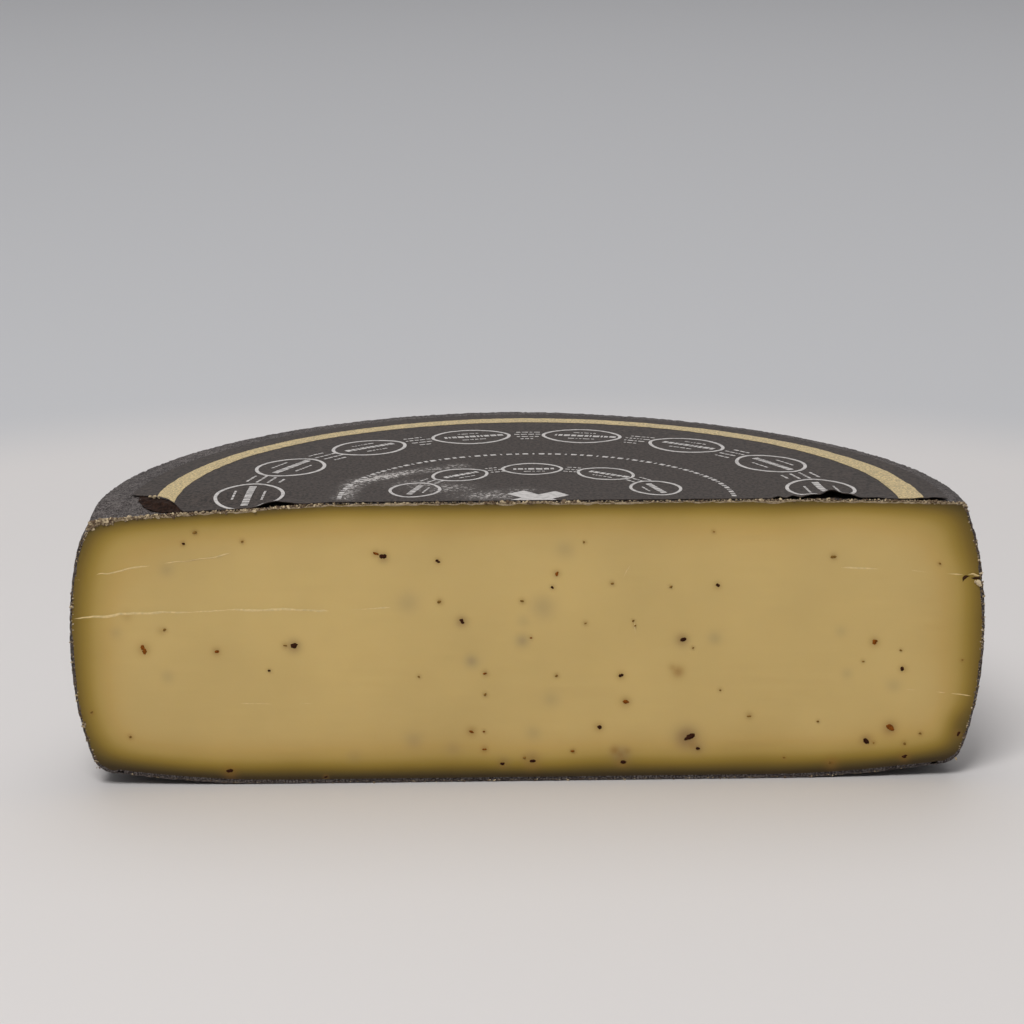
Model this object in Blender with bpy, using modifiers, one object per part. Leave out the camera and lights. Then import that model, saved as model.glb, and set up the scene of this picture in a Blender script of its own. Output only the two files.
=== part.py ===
"""Half a wheel of truffle cheese, standing on its foot, with its printed top sheet.

The wheel is turned as a whole, settled out of true as a soft cheese is, and then
cut in two a little in front of its axis. The cut face looks towards -Y. Lengths
are in millimetres here and become metres as each mesh is made.
"""

import math

import bmesh
import bpy
import numpy as np
from mathutils import Matrix, Vector

MM = 0.001

# Wheel
WHEEL_RADIUS = 122.4
WHEEL_HEIGHT = 77.9
CUT_IN_FRONT_OF_AXIS = 3.0
TURN_STEPS = 96

# Flank: bulges most at its belly and falls in towards both rims
BELLY_SHARE = 0.52
FLANK_FALL = 6.5
FLANK_POWER = 2.2
FLANK_REACH_SHARE = 0.475

# Rims: the flat of the top and of the underside end here, and a round leads to the flank
TOP_FLAT_RADIUS = 115.5
TOP_RIM_DEPTH = 5.2
TOP_RIM_PULL = 0.3
BASE_RIM_RADIUS = 112.5
BASE_RIM_RISE = 8.5
BASE_RIM_PULL = 0.4
RIM_STEPS = 4

# Section points: radii on the top and on the underside, and the number of rows down the flank
TOP_RADII = (0.0, 22.0, 44.0, 60.0, 72.0, 82.0, 91.0, 99.0, 107.0, TOP_FLAT_RADIUS)
BASE_RADII = (BASE_RIM_RADIUS, 104.0, 95.0, 85.0, 75.0, 65.0, 32.0, 0.0)
FLANK_ROWS = 12

# Underside: a flat foot, and a shallow lift outside it
FOOT_RADIUS = 65.0
UNDERSIDE_LIFT = 5.4

# Settling of the top: the rim hangs low all round, and most on the left
DROP_START_RADIUS = 70.0
DROP_POWER = 1.85
DROP_ALL_ROUND = 1.5
DROP_LEFT = 1.9
DROP_LEFT_POWER = 1.5
DROP_SKEW = 1.2

# Only what lies above this share of the height has settled
SETTLED_ABOVE = 0.85

# The left corner beside the cut has sagged a little more
CORNER_SAG = 1.6
CORNER_SAG_FROM_X = -50.0
CORNER_SAG_WIDTH = 32.0
CORNER_SAG_DEPTH = 10.0

# A small bite out of the rind on the right edge of the cut
NICK_X = 122.2
NICK_Z = 56.0
NICK_RADIUS = 1.7

# Truffle flakes in the cut face: how far they stand out, and each one as
# (x from the middle, height, length, width, tilt in degrees)
FLAKE_PROUD = 0.35
FLAKES = (
    (42.9, 11.8, 3.4, 1.9, 25.0),
    (97.7, 14.1, 2.4, 1.5, -30.0),
    (-39.5, 64.0, 2.8, 1.5, 35.0),
    (-62.9, 38.7, 2.4, 1.8, -20.0),
    (-83.7, 37.8, 1.7, 1.4, 0.0),
    (-102.9, 38.5, 1.6, 1.3, 60.0),
    (-80.5, 3.7, 2.0, 1.4, 10.0),
    (-18.1, 45.3, 1.7, 1.4, -15.0),
    (41.2, 39.5, 1.9, 1.3, 15.0),
    (50.3, 54.4, 1.4, 1.1, 70.0),
    (91.3, 10.5, 2.0, 1.4, -25.0),
    (101.8, 5.8, 1.8, 1.1, 5.0),
    (25.1, 5.2, 2.4, 1.3, 0.0),
    (24.9, 30.1, 1.5, 1.2, 10.0),
    (18.8, 15.5, 1.6, 1.1, -40.0),
    (81.2, 62.2, 1.5, 1.2, 30.0),
)

# Top sheet: a printed half disc on the rind, cut through with the cheese
SHEET_RADIUS = 109.4
SHEET_MIDDLE_X = 2.1
SHEET_BEHIND_CUT = 2.0
SHEET_THICKNESS = 0.35
SHEET_COLUMNS = 64
SHEET_ROWS = 14
SHEET_ROW_POWER = 1.6
GAP = 0.3

# Its left tip is torn off along a slanted line, from the cut back to the edge
TEAR_X = -91.0
TEAR_SLOPE = 0.48

# Where the cut edge of the sheet stands up off the rind:
# (x from the middle, height, half width along the cut, reach back from it)
CURLS = (
    (-66.0, 1.3, 6.0, 4.0),
    (77.0, 1.0, 5.0, 4.5),
    (83.0, 2.2, 7.0, 6.0),
    (108.0, 0.8, 6.0, 5.0),
)

# The sheet follows the sagged corner only to the right of the tear, and lets go over this width
SHEET_LETS_GO = 5.0

# Faces that meet at more than this angle keep a sharp edge
SHARP_ANGLE = 35.0

PASTE_COLOUR = (0.48, 0.34, 0.13, 1.0)
SHEET_COLOUR = (0.08, 0.065, 0.06, 1.0)


def clear_scene():
    """Removes whatever the open file holds."""
    for thing in list(bpy.data.objects):
        bpy.data.objects.remove(thing, do_unlink=True)


def make_collection(name):
    """A new collection under the scene's own."""
    group = bpy.data.collections.new(name)
    bpy.context.scene.collection.children.link(group)
    return group


def make_material(name, colour, roughness):
    """A plain Principled material."""
    material = bpy.data.materials.new(name)
    material.use_nodes = True
    shader = material.node_tree.nodes["Principled BSDF"]
    shader.inputs["Base Color"].default_value = colour
    shader.inputs["Roughness"].default_value = roughness
    shader.inputs["Metallic"].default_value = 0.0
    material.diffuse_color = colour
    return material


def add_object(mesh, name, group):
    """Puts a mesh in a collection under its name."""
    thing = bpy.data.objects.new(name, mesh)
    group.objects.link(thing)
    return thing


def applied(thing):
    """Gives an object the mesh that its modifiers make, and drops the modifiers."""
    depsgraph = bpy.context.evaluated_depsgraph_get()
    depsgraph.update()
    mesh = bpy.data.meshes.new_from_object(thing.evaluated_get(depsgraph))
    thing.modifiers.clear()
    thing.data = mesh
    return mesh


def get_points(mesh):
    """A mesh's vertices as rows of x, y, z in millimetres."""
    flat = np.empty(len(mesh.vertices) * 3)
    mesh.vertices.foreach_get("co", flat)
    return flat.reshape(-1, 3) / MM


def set_points(mesh, points):
    """Writes rows of x, y, z in millimetres back to a mesh."""
    mesh.vertices.foreach_set("co", (points * MM).ravel())
    mesh.update()


def smooth_ramp(value):
    """0 below 0, 1 above 1, and an S between them."""
    t = np.clip(value, 0.0, 1.0)
    return t * t * (3.0 - 2.0 * t)


def flank_radius(height):
    """The wheel's radius at a height: its belly less a fall that steepens to both rims."""
    off_belly = abs(height - BELLY_SHARE * WHEEL_HEIGHT) / (FLANK_REACH_SHARE * WHEEL_HEIGHT)
    return WHEEL_RADIUS - FLANK_FALL * off_belly ** FLANK_POWER


def underside_height(radius):
    """Zero on the foot, then a lift that grows with the square of the way to the rim."""
    way_out = max(0.0, radius - FOOT_RADIUS) / (WHEEL_RADIUS - FOOT_RADIUS)
    return UNDERSIDE_LIFT * way_out ** 2


def rounded(start, corner, end):
    """Points along the curve that leaves start and reaches end, drawn towards corner."""
    points = []
    for step in range(1, RIM_STEPS):
        t = step / RIM_STEPS
        weights = ((1.0 - t) ** 2, 2.0 * t * (1.0 - t), t ** 2)
        points.append(tuple(
            sum(w * p[axis] for w, p in zip(weights, (start, corner, end))) for axis in (0, 1)
        ))
    return points


def wheel_section():
    """The half section as (radius, height), from the top's middle down to the foot's."""
    top = [(radius, WHEEL_HEIGHT) for radius in TOP_RADII]
    heights = np.linspace(WHEEL_HEIGHT - TOP_RIM_DEPTH, BASE_RIM_RISE, FLANK_ROWS)
    flank = [(float(flank_radius(height)), float(height)) for height in heights]
    base = [(radius, underside_height(radius)) for radius in BASE_RADII]
    top_corner = (flank_radius(WHEEL_HEIGHT - TOP_RIM_PULL * TOP_RIM_DEPTH), WHEEL_HEIGHT)
    base_corner = (
        flank_radius(BASE_RIM_PULL * BASE_RIM_RISE),
        underside_height(WHEEL_RADIUS - FLANK_FALL),
    )
    top_round = rounded(top[-1], top_corner, flank[0])
    base_round = rounded(flank[-1], base_corner, base[0])
    return top + top_round + flank + base_round + base


def rim_drop(x, y):
    """How far the top hangs below a true flat, by the way round and out from the axis."""
    radius = np.hypot(x, y)
    angle = np.arctan2(y, x)
    way_out = np.clip((radius - DROP_START_RADIUS) / (WHEEL_RADIUS - DROP_START_RADIUS), 0.0, None)
    at_rim = (DROP_ALL_ROUND
              + DROP_LEFT * np.clip(-np.cos(angle), 0.0, None) ** DROP_LEFT_POWER
              + DROP_SKEW * np.clip(np.sin(2.0 * angle), 0.0, None))
    return at_rim * way_out ** DROP_POWER


def corner_sag(x, y):
    """The extra sag of the left corner, which fades out to the right and away from the cut."""
    along = smooth_ramp((CORNER_SAG_FROM_X - x) / CORNER_SAG_WIDTH)
    behind_cut = np.clip(y + CUT_IN_FRONT_OF_AXIS, 0.0, None)
    return CORNER_SAG * along * np.exp(-((behind_cut / CORNER_SAG_DEPTH) ** 2))


def settle(mesh):
    """Lets the wheel down: its top by the full drop, and less and less down to the flank."""
    points = get_points(mesh)
    x, y, z = points.T
    share = smooth_ramp((z / WHEEL_HEIGHT - SETTLED_ABOVE) / (1.0 - SETTLED_ABOVE))
    points[:, 2] = z - share * (rim_drop(x, y) + corner_sag(x, y))
    set_points(mesh, points)


def turn_wheel(group):
    """The whole wheel: its half section turned round the Z axis, then settled."""
    section = [(radius * MM, 0.0, height * MM) for radius, height in wheel_section()]
    edges = [(index, index + 1) for index in range(len(section) - 1)]
    mesh = bpy.data.meshes.new("cheese_half")
    mesh.from_pydata(section, edges, [])
    wheel = add_object(mesh, "cheese_half", group)
    screw = wheel.modifiers.new("turn", "SCREW")
    screw.axis = "Z"
    screw.steps = TURN_STEPS
    screw.render_steps = TURN_STEPS
    screw.use_merge_vertices = True
    screw.merge_threshold = 0.00001
    settle(applied(wheel))
    return wheel


def add_knife(group):
    """A block in front of the cut plane, which takes away the other half."""
    mesh = bpy.data.meshes.new("knife")
    form = bmesh.new()
    bmesh.ops.create_cube(form, size=4.0 * WHEEL_RADIUS * MM)
    form.to_mesh(mesh)
    form.free()
    knife = add_object(mesh, "knife", group)
    knife.location.y = -(2.0 * WHEEL_RADIUS + CUT_IN_FRONT_OF_AXIS) * MM
    return knife


def add_nick(group):
    """A small ball at the edge of the cut face, which takes a bite out of the rind."""
    mesh = bpy.data.meshes.new("nick")
    form = bmesh.new()
    bmesh.ops.create_icosphere(form, subdivisions=2, radius=NICK_RADIUS * MM)
    form.to_mesh(mesh)
    form.free()
    nick = add_object(mesh, "nick", group)
    nick.location = (NICK_X * MM, -CUT_IN_FRONT_OF_AXIS * MM, NICK_Z * MM)
    return nick


def add_flakes(group):
    """One flat pebble for each truffle flake, sunk to half its thickness in the cut face."""
    for number, (x, height, length, width, tilt) in enumerate(FLAKES):
        mesh = bpy.data.meshes.new(f"flake_{number}")
        form = bmesh.new()
        bmesh.ops.create_icosphere(form, subdivisions=1, radius=MM)
        size = Matrix.Diagonal((length / 2.0, FLAKE_PROUD, width / 2.0, 1.0))
        turn = Matrix.Rotation(math.radians(-tilt), 4, "Y")
        bmesh.ops.transform(form, matrix=turn @ size, verts=form.verts)
        form.to_mesh(mesh)
        form.free()
        flake = add_object(mesh, mesh.name, group)
        flake.location = Vector((x, -CUT_IN_FRONT_OF_AXIS, height)) * MM


def cut_away(wheel, cutter):
    """Takes a cutter's space out of the wheel."""
    cutter.hide_render = True
    cutter.display_type = "WIRE"
    boolean = wheel.modifiers.new(cutter.name, "BOOLEAN")
    boolean.operation = "DIFFERENCE"
    boolean.solver = "EXACT"
    boolean.object = cutter


def build_cheese(group, cutters):
    """The half wheel with its flat cut face, its nick and its truffle flakes."""
    wheel = turn_wheel(group)
    cut_away(wheel, add_knife(cutters))
    cut_away(wheel, add_nick(cutters))
    flakes = make_collection("flakes")
    add_flakes(flakes)
    union = wheel.modifiers.new("flakes", "BOOLEAN")
    union.operation = "UNION"
    union.solver = "EXACT"
    union.operand_type = "COLLECTION"
    union.collection = flakes
    mesh = applied(wheel)
    for flake in list(flakes.objects):
        bpy.data.objects.remove(flake, do_unlink=True)
    bpy.data.collections.remove(flakes)
    mesh.materials.clear()
    mesh.materials.append(make_material("cheese_paste", PASTE_COLOUR, 0.45))
    mesh.shade_smooth()
    mesh.set_sharp_from_angle(angle=math.radians(SHARP_ANGLE))
    return wheel


def curl_height(x, behind_cut):
    """How far the sheet stands up at its curls, each a hump that dies away from the cut."""
    total = np.zeros_like(x)
    for middle, height, half_width, reach in CURLS:
        total += height * np.exp(-(((x - middle) / half_width) ** 2) - (behind_cut / reach) ** 2)
    return total


def shape_sheet(mesh):
    """Draws a square grid out to the half disc and lays it on the settled top.

    Columns stand closer near both tips, and rows closer near the cut, where the sheet curls.
    Each column runs from the cut straight back to the edge of the disc.
    """
    points = get_points(mesh)
    across = np.clip(points[:, 0], -1.0, 1.0)
    share = np.clip((points[:, 1] + 1.0) / 2.0, 0.0, 1.0) ** SHEET_ROW_POWER
    off_middle = SHEET_RADIUS * np.sin(across * math.pi / 2.0)
    x = SHEET_MIDDLE_X + off_middle
    chord = np.sqrt(np.clip(SHEET_RADIUS ** 2 - off_middle ** 2, 0.0, None))
    behind_cut = share * (SHEET_BEHIND_CUT + chord)
    y = behind_cut - CUT_IN_FRONT_OF_AXIS
    held = smooth_ramp((x - TEAR_X) / SHEET_LETS_GO + 1.0)
    rind = WHEEL_HEIGHT - rim_drop(x, y) - held * corner_sag(x, y)
    z = rind + GAP + curl_height(x, behind_cut)
    set_points(mesh, np.column_stack((x, y, z)))


def build_sheet(group):
    """The top sheet, torn at its left tip, with its thickness added upwards."""
    mesh = bpy.data.meshes.new("top_label")
    form = bmesh.new()
    bmesh.ops.create_grid(form, x_segments=SHEET_COLUMNS, y_segments=SHEET_ROWS, size=MM)
    form.to_mesh(mesh)
    form.free()
    shape_sheet(mesh)
    form = bmesh.new()
    form.from_mesh(mesh)
    tear_start = Vector((TEAR_X, -CUT_IN_FRONT_OF_AXIS, 0.0)) * MM
    bmesh.ops.bisect_plane(
        form,
        geom=form.verts[:] + form.edges[:] + form.faces[:],
        dist=1e-7,
        plane_co=tear_start,
        plane_no=(TEAR_SLOPE, 1.0, 0.0),
        clear_inner=True,
    )
    form.to_mesh(mesh)
    form.free()
    sheet = add_object(mesh, "top_label", group)
    wall = sheet.modifiers.new("thickness", "SOLIDIFY")
    wall.thickness = SHEET_THICKNESS * MM
    wall.offset = 1.0
    mesh.materials.append(make_material("label_paper", SHEET_COLOUR, 0.55))
    mesh.shade_smooth()
    mesh.set_sharp_from_angle(angle=math.radians(SHARP_ANGLE))
    return sheet


def stand_on_origin(things):
    """Hangs the things on an empty so that the middle of their base is the origin."""
    bpy.context.view_layer.update()
    depsgraph = bpy.context.evaluated_depsgraph_get()
    corners = np.array([
        thing.matrix_world @ Vector(corner)
        for thing in things
        for corner in thing.evaluated_get(depsgraph).bound_box
    ])
    low = corners.min(axis=0)
    high = corners.max(axis=0)
    base = bpy.data.objects.new("base", None)
    things[0].users_collection[0].objects.link(base)
    base.location = (-(low[0] + high[0]) / 2.0, -(low[1] + high[1]) / 2.0, -low[2])
    for thing in things:
        thing.parent = base


def main():
    clear_scene()
    group = make_collection("truffle_cheese")
    cutters = make_collection("cutters")
    cheese = build_cheese(group, cutters)
    sheet = build_sheet(group)
    stand_on_origin([cheese, sheet])


main()
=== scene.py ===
"""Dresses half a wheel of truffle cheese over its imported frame.

Lengths in the shape functions are millimetres in the frame: x runs along the cut,
y into the cheese and z up. They become metres as each mesh is made.
"""

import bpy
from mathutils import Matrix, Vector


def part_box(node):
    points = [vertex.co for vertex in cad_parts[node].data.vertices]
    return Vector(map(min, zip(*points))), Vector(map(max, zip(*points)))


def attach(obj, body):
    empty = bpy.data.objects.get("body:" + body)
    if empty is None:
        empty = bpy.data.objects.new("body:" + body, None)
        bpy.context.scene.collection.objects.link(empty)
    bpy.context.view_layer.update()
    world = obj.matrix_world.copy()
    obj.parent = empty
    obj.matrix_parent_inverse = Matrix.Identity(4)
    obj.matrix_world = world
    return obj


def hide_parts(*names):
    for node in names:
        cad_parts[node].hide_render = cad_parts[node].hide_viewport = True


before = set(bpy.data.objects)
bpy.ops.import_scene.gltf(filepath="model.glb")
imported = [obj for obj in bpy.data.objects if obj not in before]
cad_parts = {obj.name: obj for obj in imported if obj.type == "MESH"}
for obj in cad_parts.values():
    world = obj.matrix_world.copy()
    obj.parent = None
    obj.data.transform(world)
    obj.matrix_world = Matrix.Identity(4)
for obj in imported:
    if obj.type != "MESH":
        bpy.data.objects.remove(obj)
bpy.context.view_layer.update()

import math

import bmesh
import bpy
import numpy as np
from bpy.props import FloatProperty, FloatVectorProperty, IntProperty, PointerProperty
from bpy.types import Operator, Panel, PropertyGroup
from mathutils import Euler, Vector

bl_info = {
    "name": "Half Wheel of Truffle Cheese",
    "version": (1, 0, 0),
    "blender": (4, 5, 0),
    "location": "View3D > Sidebar > Cheese",
    "description": "Paste, rind, printed top sheet, truffle flakes and crumbs of a cut cheese",
    "category": "Add Mesh",
}

MM = 0.001
BODY = "root"

# The frame's own sizes
CHEESE_LOW, CHEESE_HIGH = (np.array(corner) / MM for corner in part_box("cheese_half"))
WHEEL_RADIUS = float(CHEESE_HIGH[0] - CHEESE_LOW[0]) / 2.0
WHEEL_HEIGHT = float(CHEESE_HIGH[2])
FLAKE_PROUD = 0.35
CUT_IN_FRONT_OF_AXIS = 3.0
CUT_Y = float(CHEESE_LOW[1]) + FLAKE_PROUD
AXIS_Y = CUT_Y + CUT_IN_FRONT_OF_AXIS

# The wheel's form, as the solids have it
BELLY_SHARE = 0.52
FLANK_FALL = 6.5
FLANK_POWER = 2.2
FLANK_REACH_SHARE = 0.475
TOP_FLAT_RADIUS = 115.5
TOP_RIM_DEPTH = 5.2
TOP_RIM_PULL = 0.3
BASE_RIM_RADIUS = 112.5
BASE_RIM_RISE = 8.5
BASE_RIM_PULL = 0.4
FOOT_RADIUS = 65.0
UNDERSIDE_LIFT = 5.4
DROP_START_RADIUS = 70.0
DROP_POWER = 1.85
DROP_ALL_ROUND = 1.5
DROP_LEFT = 1.9
DROP_LEFT_POWER = 1.5
DROP_SKEW = 1.2
SETTLED_ABOVE = 0.85
CORNER_SAG = 1.6
CORNER_SAG_FROM_X = -50.0
CORNER_SAG_WIDTH = 32.0
CORNER_SAG_DEPTH = 10.0
NICK_X = 122.2
NICK_Z = 56.0
NICK_DEPTH = 1.5
NICK_SIZE = 1.1

# The rind's depth on top, down the flank and under the base, as shares of its thickness, and how
# far out the top's and the base's go, each with a blend to the flank's
RIND_TOP_SHARE = 0.4
RIND_FLANK_SHARE = 0.8
RIND_BASE_SHARE = 1.8
RIND_TOP_END = 105.0
RIND_TOP_BLEND = 12.0
RIND_BASE_START = 100.0
RIND_BASE_BLEND = 20.0

# The top sheet
SHEET_RADIUS = 109.4
SHEET_MIDDLE_X = 2.1
SHEET_BEHIND_CUT = 2.0
SHEET_MIDDLE_Y = CUT_Y + SHEET_BEHIND_CUT
SHEET_LIFT = 0.3
TEAR_X = -91.2
TEAR_DEPTH = 24.0
TEAR_LENGTH = 12.0
SHEET_LETS_GO = 5.0

# Curls at the sheet's cut edge: x, height, half width along the cut, reach back from it
CURLS = (
    (-69.5, 0.6, 2.2, 2.5), (-65.5, 1.2, 3.4, 3.2), (66.0, 0.5, 1.3, 2.5), (70.0, 0.6, 1.4, 3.0),
    (75.0, 1.1, 2.2, 3.5), (80.2, 2.1, 2.9, 5.5), (84.8, 0.9, 2.2, 4.0), (91.0, 0.35, 4.0, 3.0),
    (107.5, 0.7, 4.5, 5.0),
)

# Truffle flakes in the cut face, by their tone: x, height, length, width and tilt in degrees
FLAKES = {
    "black": (
        (42.9, 11.8, 3.3, 1.3, 25), (45.7, 8.7, 1.1, 0.7, -25), (-38.9, 63.3, 1.7, 1.4, 40),
        (-24.4, 61.9, 1.1, 0.9, 0), (-62.9, 38.9, 2.0, 1.6, -20), (-69.6, 31.9, 0.8, 0.7, 0),
        (-80.6, 3.7, 2.1, 1.5, 10), (-54.9, 1.9, 0.8, 0.5, 0), (-91.7, 67.4, 0.9, 0.6, 0),
        (-18.1, 45.3, 1.6, 1.2, -15), (-7.2, 5.0, 1.3, 0.8, 15), (0.7, 5.6, 2.4, 0.9, 0),
        (6.2, 54.4, 0.9, 0.7, 0), (41.0, 39.5, 1.8, 1.1, 15), (50.3, 54.4, 1.2, 0.9, 70),
        (24.6, 29.7, 1.4, 1.0, 10), (18.7, 15.2, 1.5, 1.0, -40), (25.1, 5.2, 1.9, 1.0, 0),
        (91.3, 10.5, 1.9, 1.3, -25), (101.8, 5.8, 1.6, 0.9, 5), (116.4, 12.0, 1.2, 0.8, 40),
        (100.7, 30.7, 1.3, 1.0, 0),
    ),
    "brown": (
        (-65.1, 38.9, 1.2, 0.5, 0), (-97.2, 43.6, 0.9, 0.7, 20), (-88.4, 70.4, 1.0, 0.7, 0),
        (-76.0, 67.8, 0.9, 0.6, 10), (-107.2, 13.9, 0.9, 0.7, 0), (-117.3, 20.8, 0.8, 0.6, 30),
        (-23.9, 50.7, 1.1, 0.7, 0), (-1.9, 50.6, 1.0, 0.7, 0), (-29.6, 29.9, 0.7, 0.6, 0),
        (15.0, 44.3, 0.9, 0.6, 20), (7.3, 29.8, 0.9, 0.6, 0), (-11.8, 24.7, 0.9, 0.6, 0),
        (-1.3, 6.6, 1.0, 0.7, 30), (14.6, 66.8, 0.6, 0.5, 0), (22.1, 55.3, 0.9, 0.5, 0),
        (27.8, 44.9, 0.6, 0.5, 0), (28.2, 43.5, 0.6, 0.5, 0), (43.9, 37.2, 0.6, 0.5, 0),
        (37.8, 54.2, 0.7, 0.6, 0), (49.0, 69.3, 0.7, 0.5, 0), (51.4, 25.3, 0.7, 0.5, 0),
        (59.4, 17.9, 1.2, 0.7, 0), (69.1, 5.9, 0.7, 0.5, 0), (78.1, 16.0, 0.6, 0.5, 0),
        (82.0, 4.3, 2.0, 0.7, 0), (81.2, 62.1, 1.2, 0.9, 30), (93.3, 9.9, 0.8, 0.6, 0),
        (101.7, 9.5, 0.9, 0.6, 0), (106.0, 12.3, 0.8, 0.6, 0), (89.8, 32.9, 0.7, 0.5, 0),
        (100.0, 35.9, 0.6, 0.5, 0), (116.6, 32.9, 0.7, 0.5, 0), (109.7, 59.9, 0.7, 0.5, 0),
    ),
    "rust": (
        (97.7, 14.1, 2.3, 1.3, -30), (-40.7, 64.1, 1.3, 0.7, -30), (-83.6, 37.5, 1.4, 1.1, 0),
        (-102.9, 38.3, 2.0, 1.5, 80), (0.4, 40.5, 0.7, 0.5, 0), (-11.8, 30.6, 1.1, 0.6, 0),
        (-15.6, 14.3, 1.6, 0.7, -20), (-12.1, 14.2, 0.7, 0.5, 0), (-12.1, 9.3, 1.2, 0.7, 0),
        (7.3, 58.2, 1.2, 0.8, 50), (25.9, 22.2, 1.7, 0.9, -20), (11.8, 8.4, 1.0, 0.5, 0),
        (92.8, 38.3, 1.6, 1.2, 10),
    ),
}

# Stains in the paste round flakes and over flakes just under the cut: x, height, size, depth
STAINS = (
    (42.6, 12.0, 3.0, 0.8), (45.2, 9.4, 2.2, 0.45), (-62.9, 38.7, 1.9, 0.5),
    (-38.7, 62.6, 1.3, 0.3), (-18.1, 45.0, 1.6, 0.45), (-1.9, 39.7, 1.9, 0.6),
    (-1.6, 45.1, 1.8, 0.22), (-15.5, 34.1, 1.8, 0.6), (3.7, 49.0, 3.2, 0.4),
    (-32.3, 50.5, 3.0, 0.34), (41.0, 39.3, 1.9, 0.45), (49.8, 39.8, 1.8, 0.38),
    (24.8, 7.2, 2.4, 0.6), (91.3, 10.5, 1.5, 0.3), (97.7, 13.8, 1.6, 0.3), (98.4, 26.0, 2.0, 0.3),
    (85.6, 29.5, 1.6, 0.25), (83.7, 41.3, 1.6, 0.25), (0.7, 6.2, 2.0, 0.35), (-6.8, 5.6, 1.6, 0.3),
    (-31.2, 12.0, 2.6, 0.34), (-20.5, 9.5, 2.0, 0.25), (1.1, 13.7, 2.0, 0.28),
    (-47.2, 7.6, 2.0, 0.22), (9.4, 64.8, 2.4, 0.3), (5.8, 23.1, 2.2, 0.3), (-96.2, 60.2, 2.0, 0.3),
    (-96.7, 30.6, 1.8, 0.3), (-110.2, 42.9, 1.6, 0.25),
)

# Darker places of the paste, partly drier paste and partly painted shade in its corners: x, height,
# size, how much
DRY_AND_SHADED_PLACES = (
    (118.0, 14.5, 5.0, 0.45), (100.0, 2.0, 12.0, 0.12), (117.0, 66.0, 7.0, 0.16),
    (118.0, 40.0, 12.0, 0.08), (-112.0, 66.0, 14.0, 0.08), (-120.0, 68.0, 6.0, 0.15),
)

# How the cut face darkens from its top, its flank and its base, by drying and, along the base, by
# painted shade where it meets the floor: where that starts, its most, how far in it reaches, and
# its power
DRYING_AND_SHADE = ((0.9, 0.78, 3.7, 1.1), (0.0, 0.72, 6.3, 1.5), (1.65, 1.0, 4.3, 1.3))

# The paste's colour as it dries and where shade is painted along its base and in its corners, and
# in stains and smears, as shares of its colour in the middle
DRYING_AND_SHADE_TONES = (
    (0.00, (1.0, 1.0, 1.0)),
    (0.11, (0.90, 0.845, 0.72)),
    (0.27, (0.75, 0.715, 0.50)),
    (0.41, (0.59, 0.545, 0.28)),
    (0.52, (0.47, 0.43, 0.175)),
    (0.65, (0.34, 0.30, 0.115)),
    (0.81, (0.195, 0.178, 0.08)),
    (1.00, (0.07, 0.06, 0.045)),
)
STAIN_TONE = (0.36, 0.38, 0.66)
SMEAR_TONE = (0.48, 0.32, 0.16)
SCUFFED_INK = "#C9C3BE"

# Brown smears of ground truffle: x, height, size, depth
SMEARS = (
    (40.0, 30.5, 1.7, 0.65), (38.6, 31.6, 1.2, 0.45), (44.2, 9.9, 1.6, 0.45),
    (23.1, 8.4, 1.2, 0.65), (24.6, 7.2, 1.1, 0.5), (26.4, 8.2, 1.0, 0.4), (-98.0, 43.4, 1.2, 0.35),
    (-107.0, 47.5, 1.4, 0.25),
)

# Burrs that the knife left: points as x, height; then half width and height of the ridge
KNIFE_LINES = (
    (((-121.2, 47.0), (-118.8, 47.2), (-116.1, 47.6), (-112.4, 47.4), (-109.2, 48.2),
      (-105.0, 48.3), (-100.7, 48.2), (-97.5, 48.7), (-93.3, 48.4), (-88.0, 48.5), (-83.7, 48.8),
      (-78.4, 49.1), (-75.3, 48.8), (-71.0, 48.8), (-65.7, 49.1), (-61.4, 48.8), (-56.7, 48.5),
      (-52.9, 48.6)),
     0.42, 0.13),
    (((-53.5, 48.6), (-48.9, 48.7), (-45.0, 48.8), (-37.0, 49.3)), 0.24, 0.04),
    (((-120.4, 57.6), (-118.1, 57.9)), 0.22, 0.05),
    (((-115.1, 59.0), (-113.6, 59.4), (-111.8, 59.3), (-108.3, 60.1), (-105.7, 60.8),
      (-103.3, 61.1), (-98.8, 61.5), (-96.1, 62.1), (-94.0, 62.4), (-90.3, 62.6), (-87.6, 63.1),
      (-83.4, 63.5), (-79.2, 64.7)),
     0.24, 0.05),
    (((-77.4, 22.9), (-71.5, 22.8), (-67.2, 22.5), (-63.5, 22.8), (-58.1, 22.7)), 0.2, 0.04),
    (((83.2, 59.1), (90.0, 58.8), (96.0, 58.3)), 0.2, 0.035),
    (((95.5, 58.4), (98.0, 58.3), (101.2, 58.3)), 0.32, 0.09),
    (((101.0, 58.3), (106.0, 57.6), (111.4, 57.1), (116.0, 56.8)), 0.22, 0.045),
    (((101.7, 24.9), (107.2, 24.4)), 0.2, 0.04),
    (((106.5, 24.5), (109.0, 24.2), (111.3, 23.9), (113.2, 23.7)), 0.3, 0.08),
    (((113.0, 23.7), (116.2, 23.3), (119.6, 22.8)), 0.22, 0.05),
    (((12.9, 59.1), (13.7, 60.2), (14.7, 61.1)), 0.22, 0.05),
    (((24.9, 56.6), (25.9, 58.8), (27.0, 60.4)), 0.18, 0.04),
    (((28.2, 44.9), (28.2, 42.7), (28.5, 41.3)), 0.18, 0.04),
    (((117.4, 56.9), (118.6, 57.0), (119.6, 56.6), (121.0, 56.4)), 0.42, 0.28),
)

# Painted shade: dark ridges that stand in for the shadow inside the crack behind the dent in the
# rind: points as x, height; then half width and height
CRACK_SHADE_LINES = (
    (((116.0, 54.9), (116.3, 55.7), (116.9, 56.2), (117.8, 56.4)), 0.62, 0.08),
    (((118.2, 55.9), (119.5, 55.8), (120.4, 55.7), (121.2, 55.8)), 0.42, 0.08),
)

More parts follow.
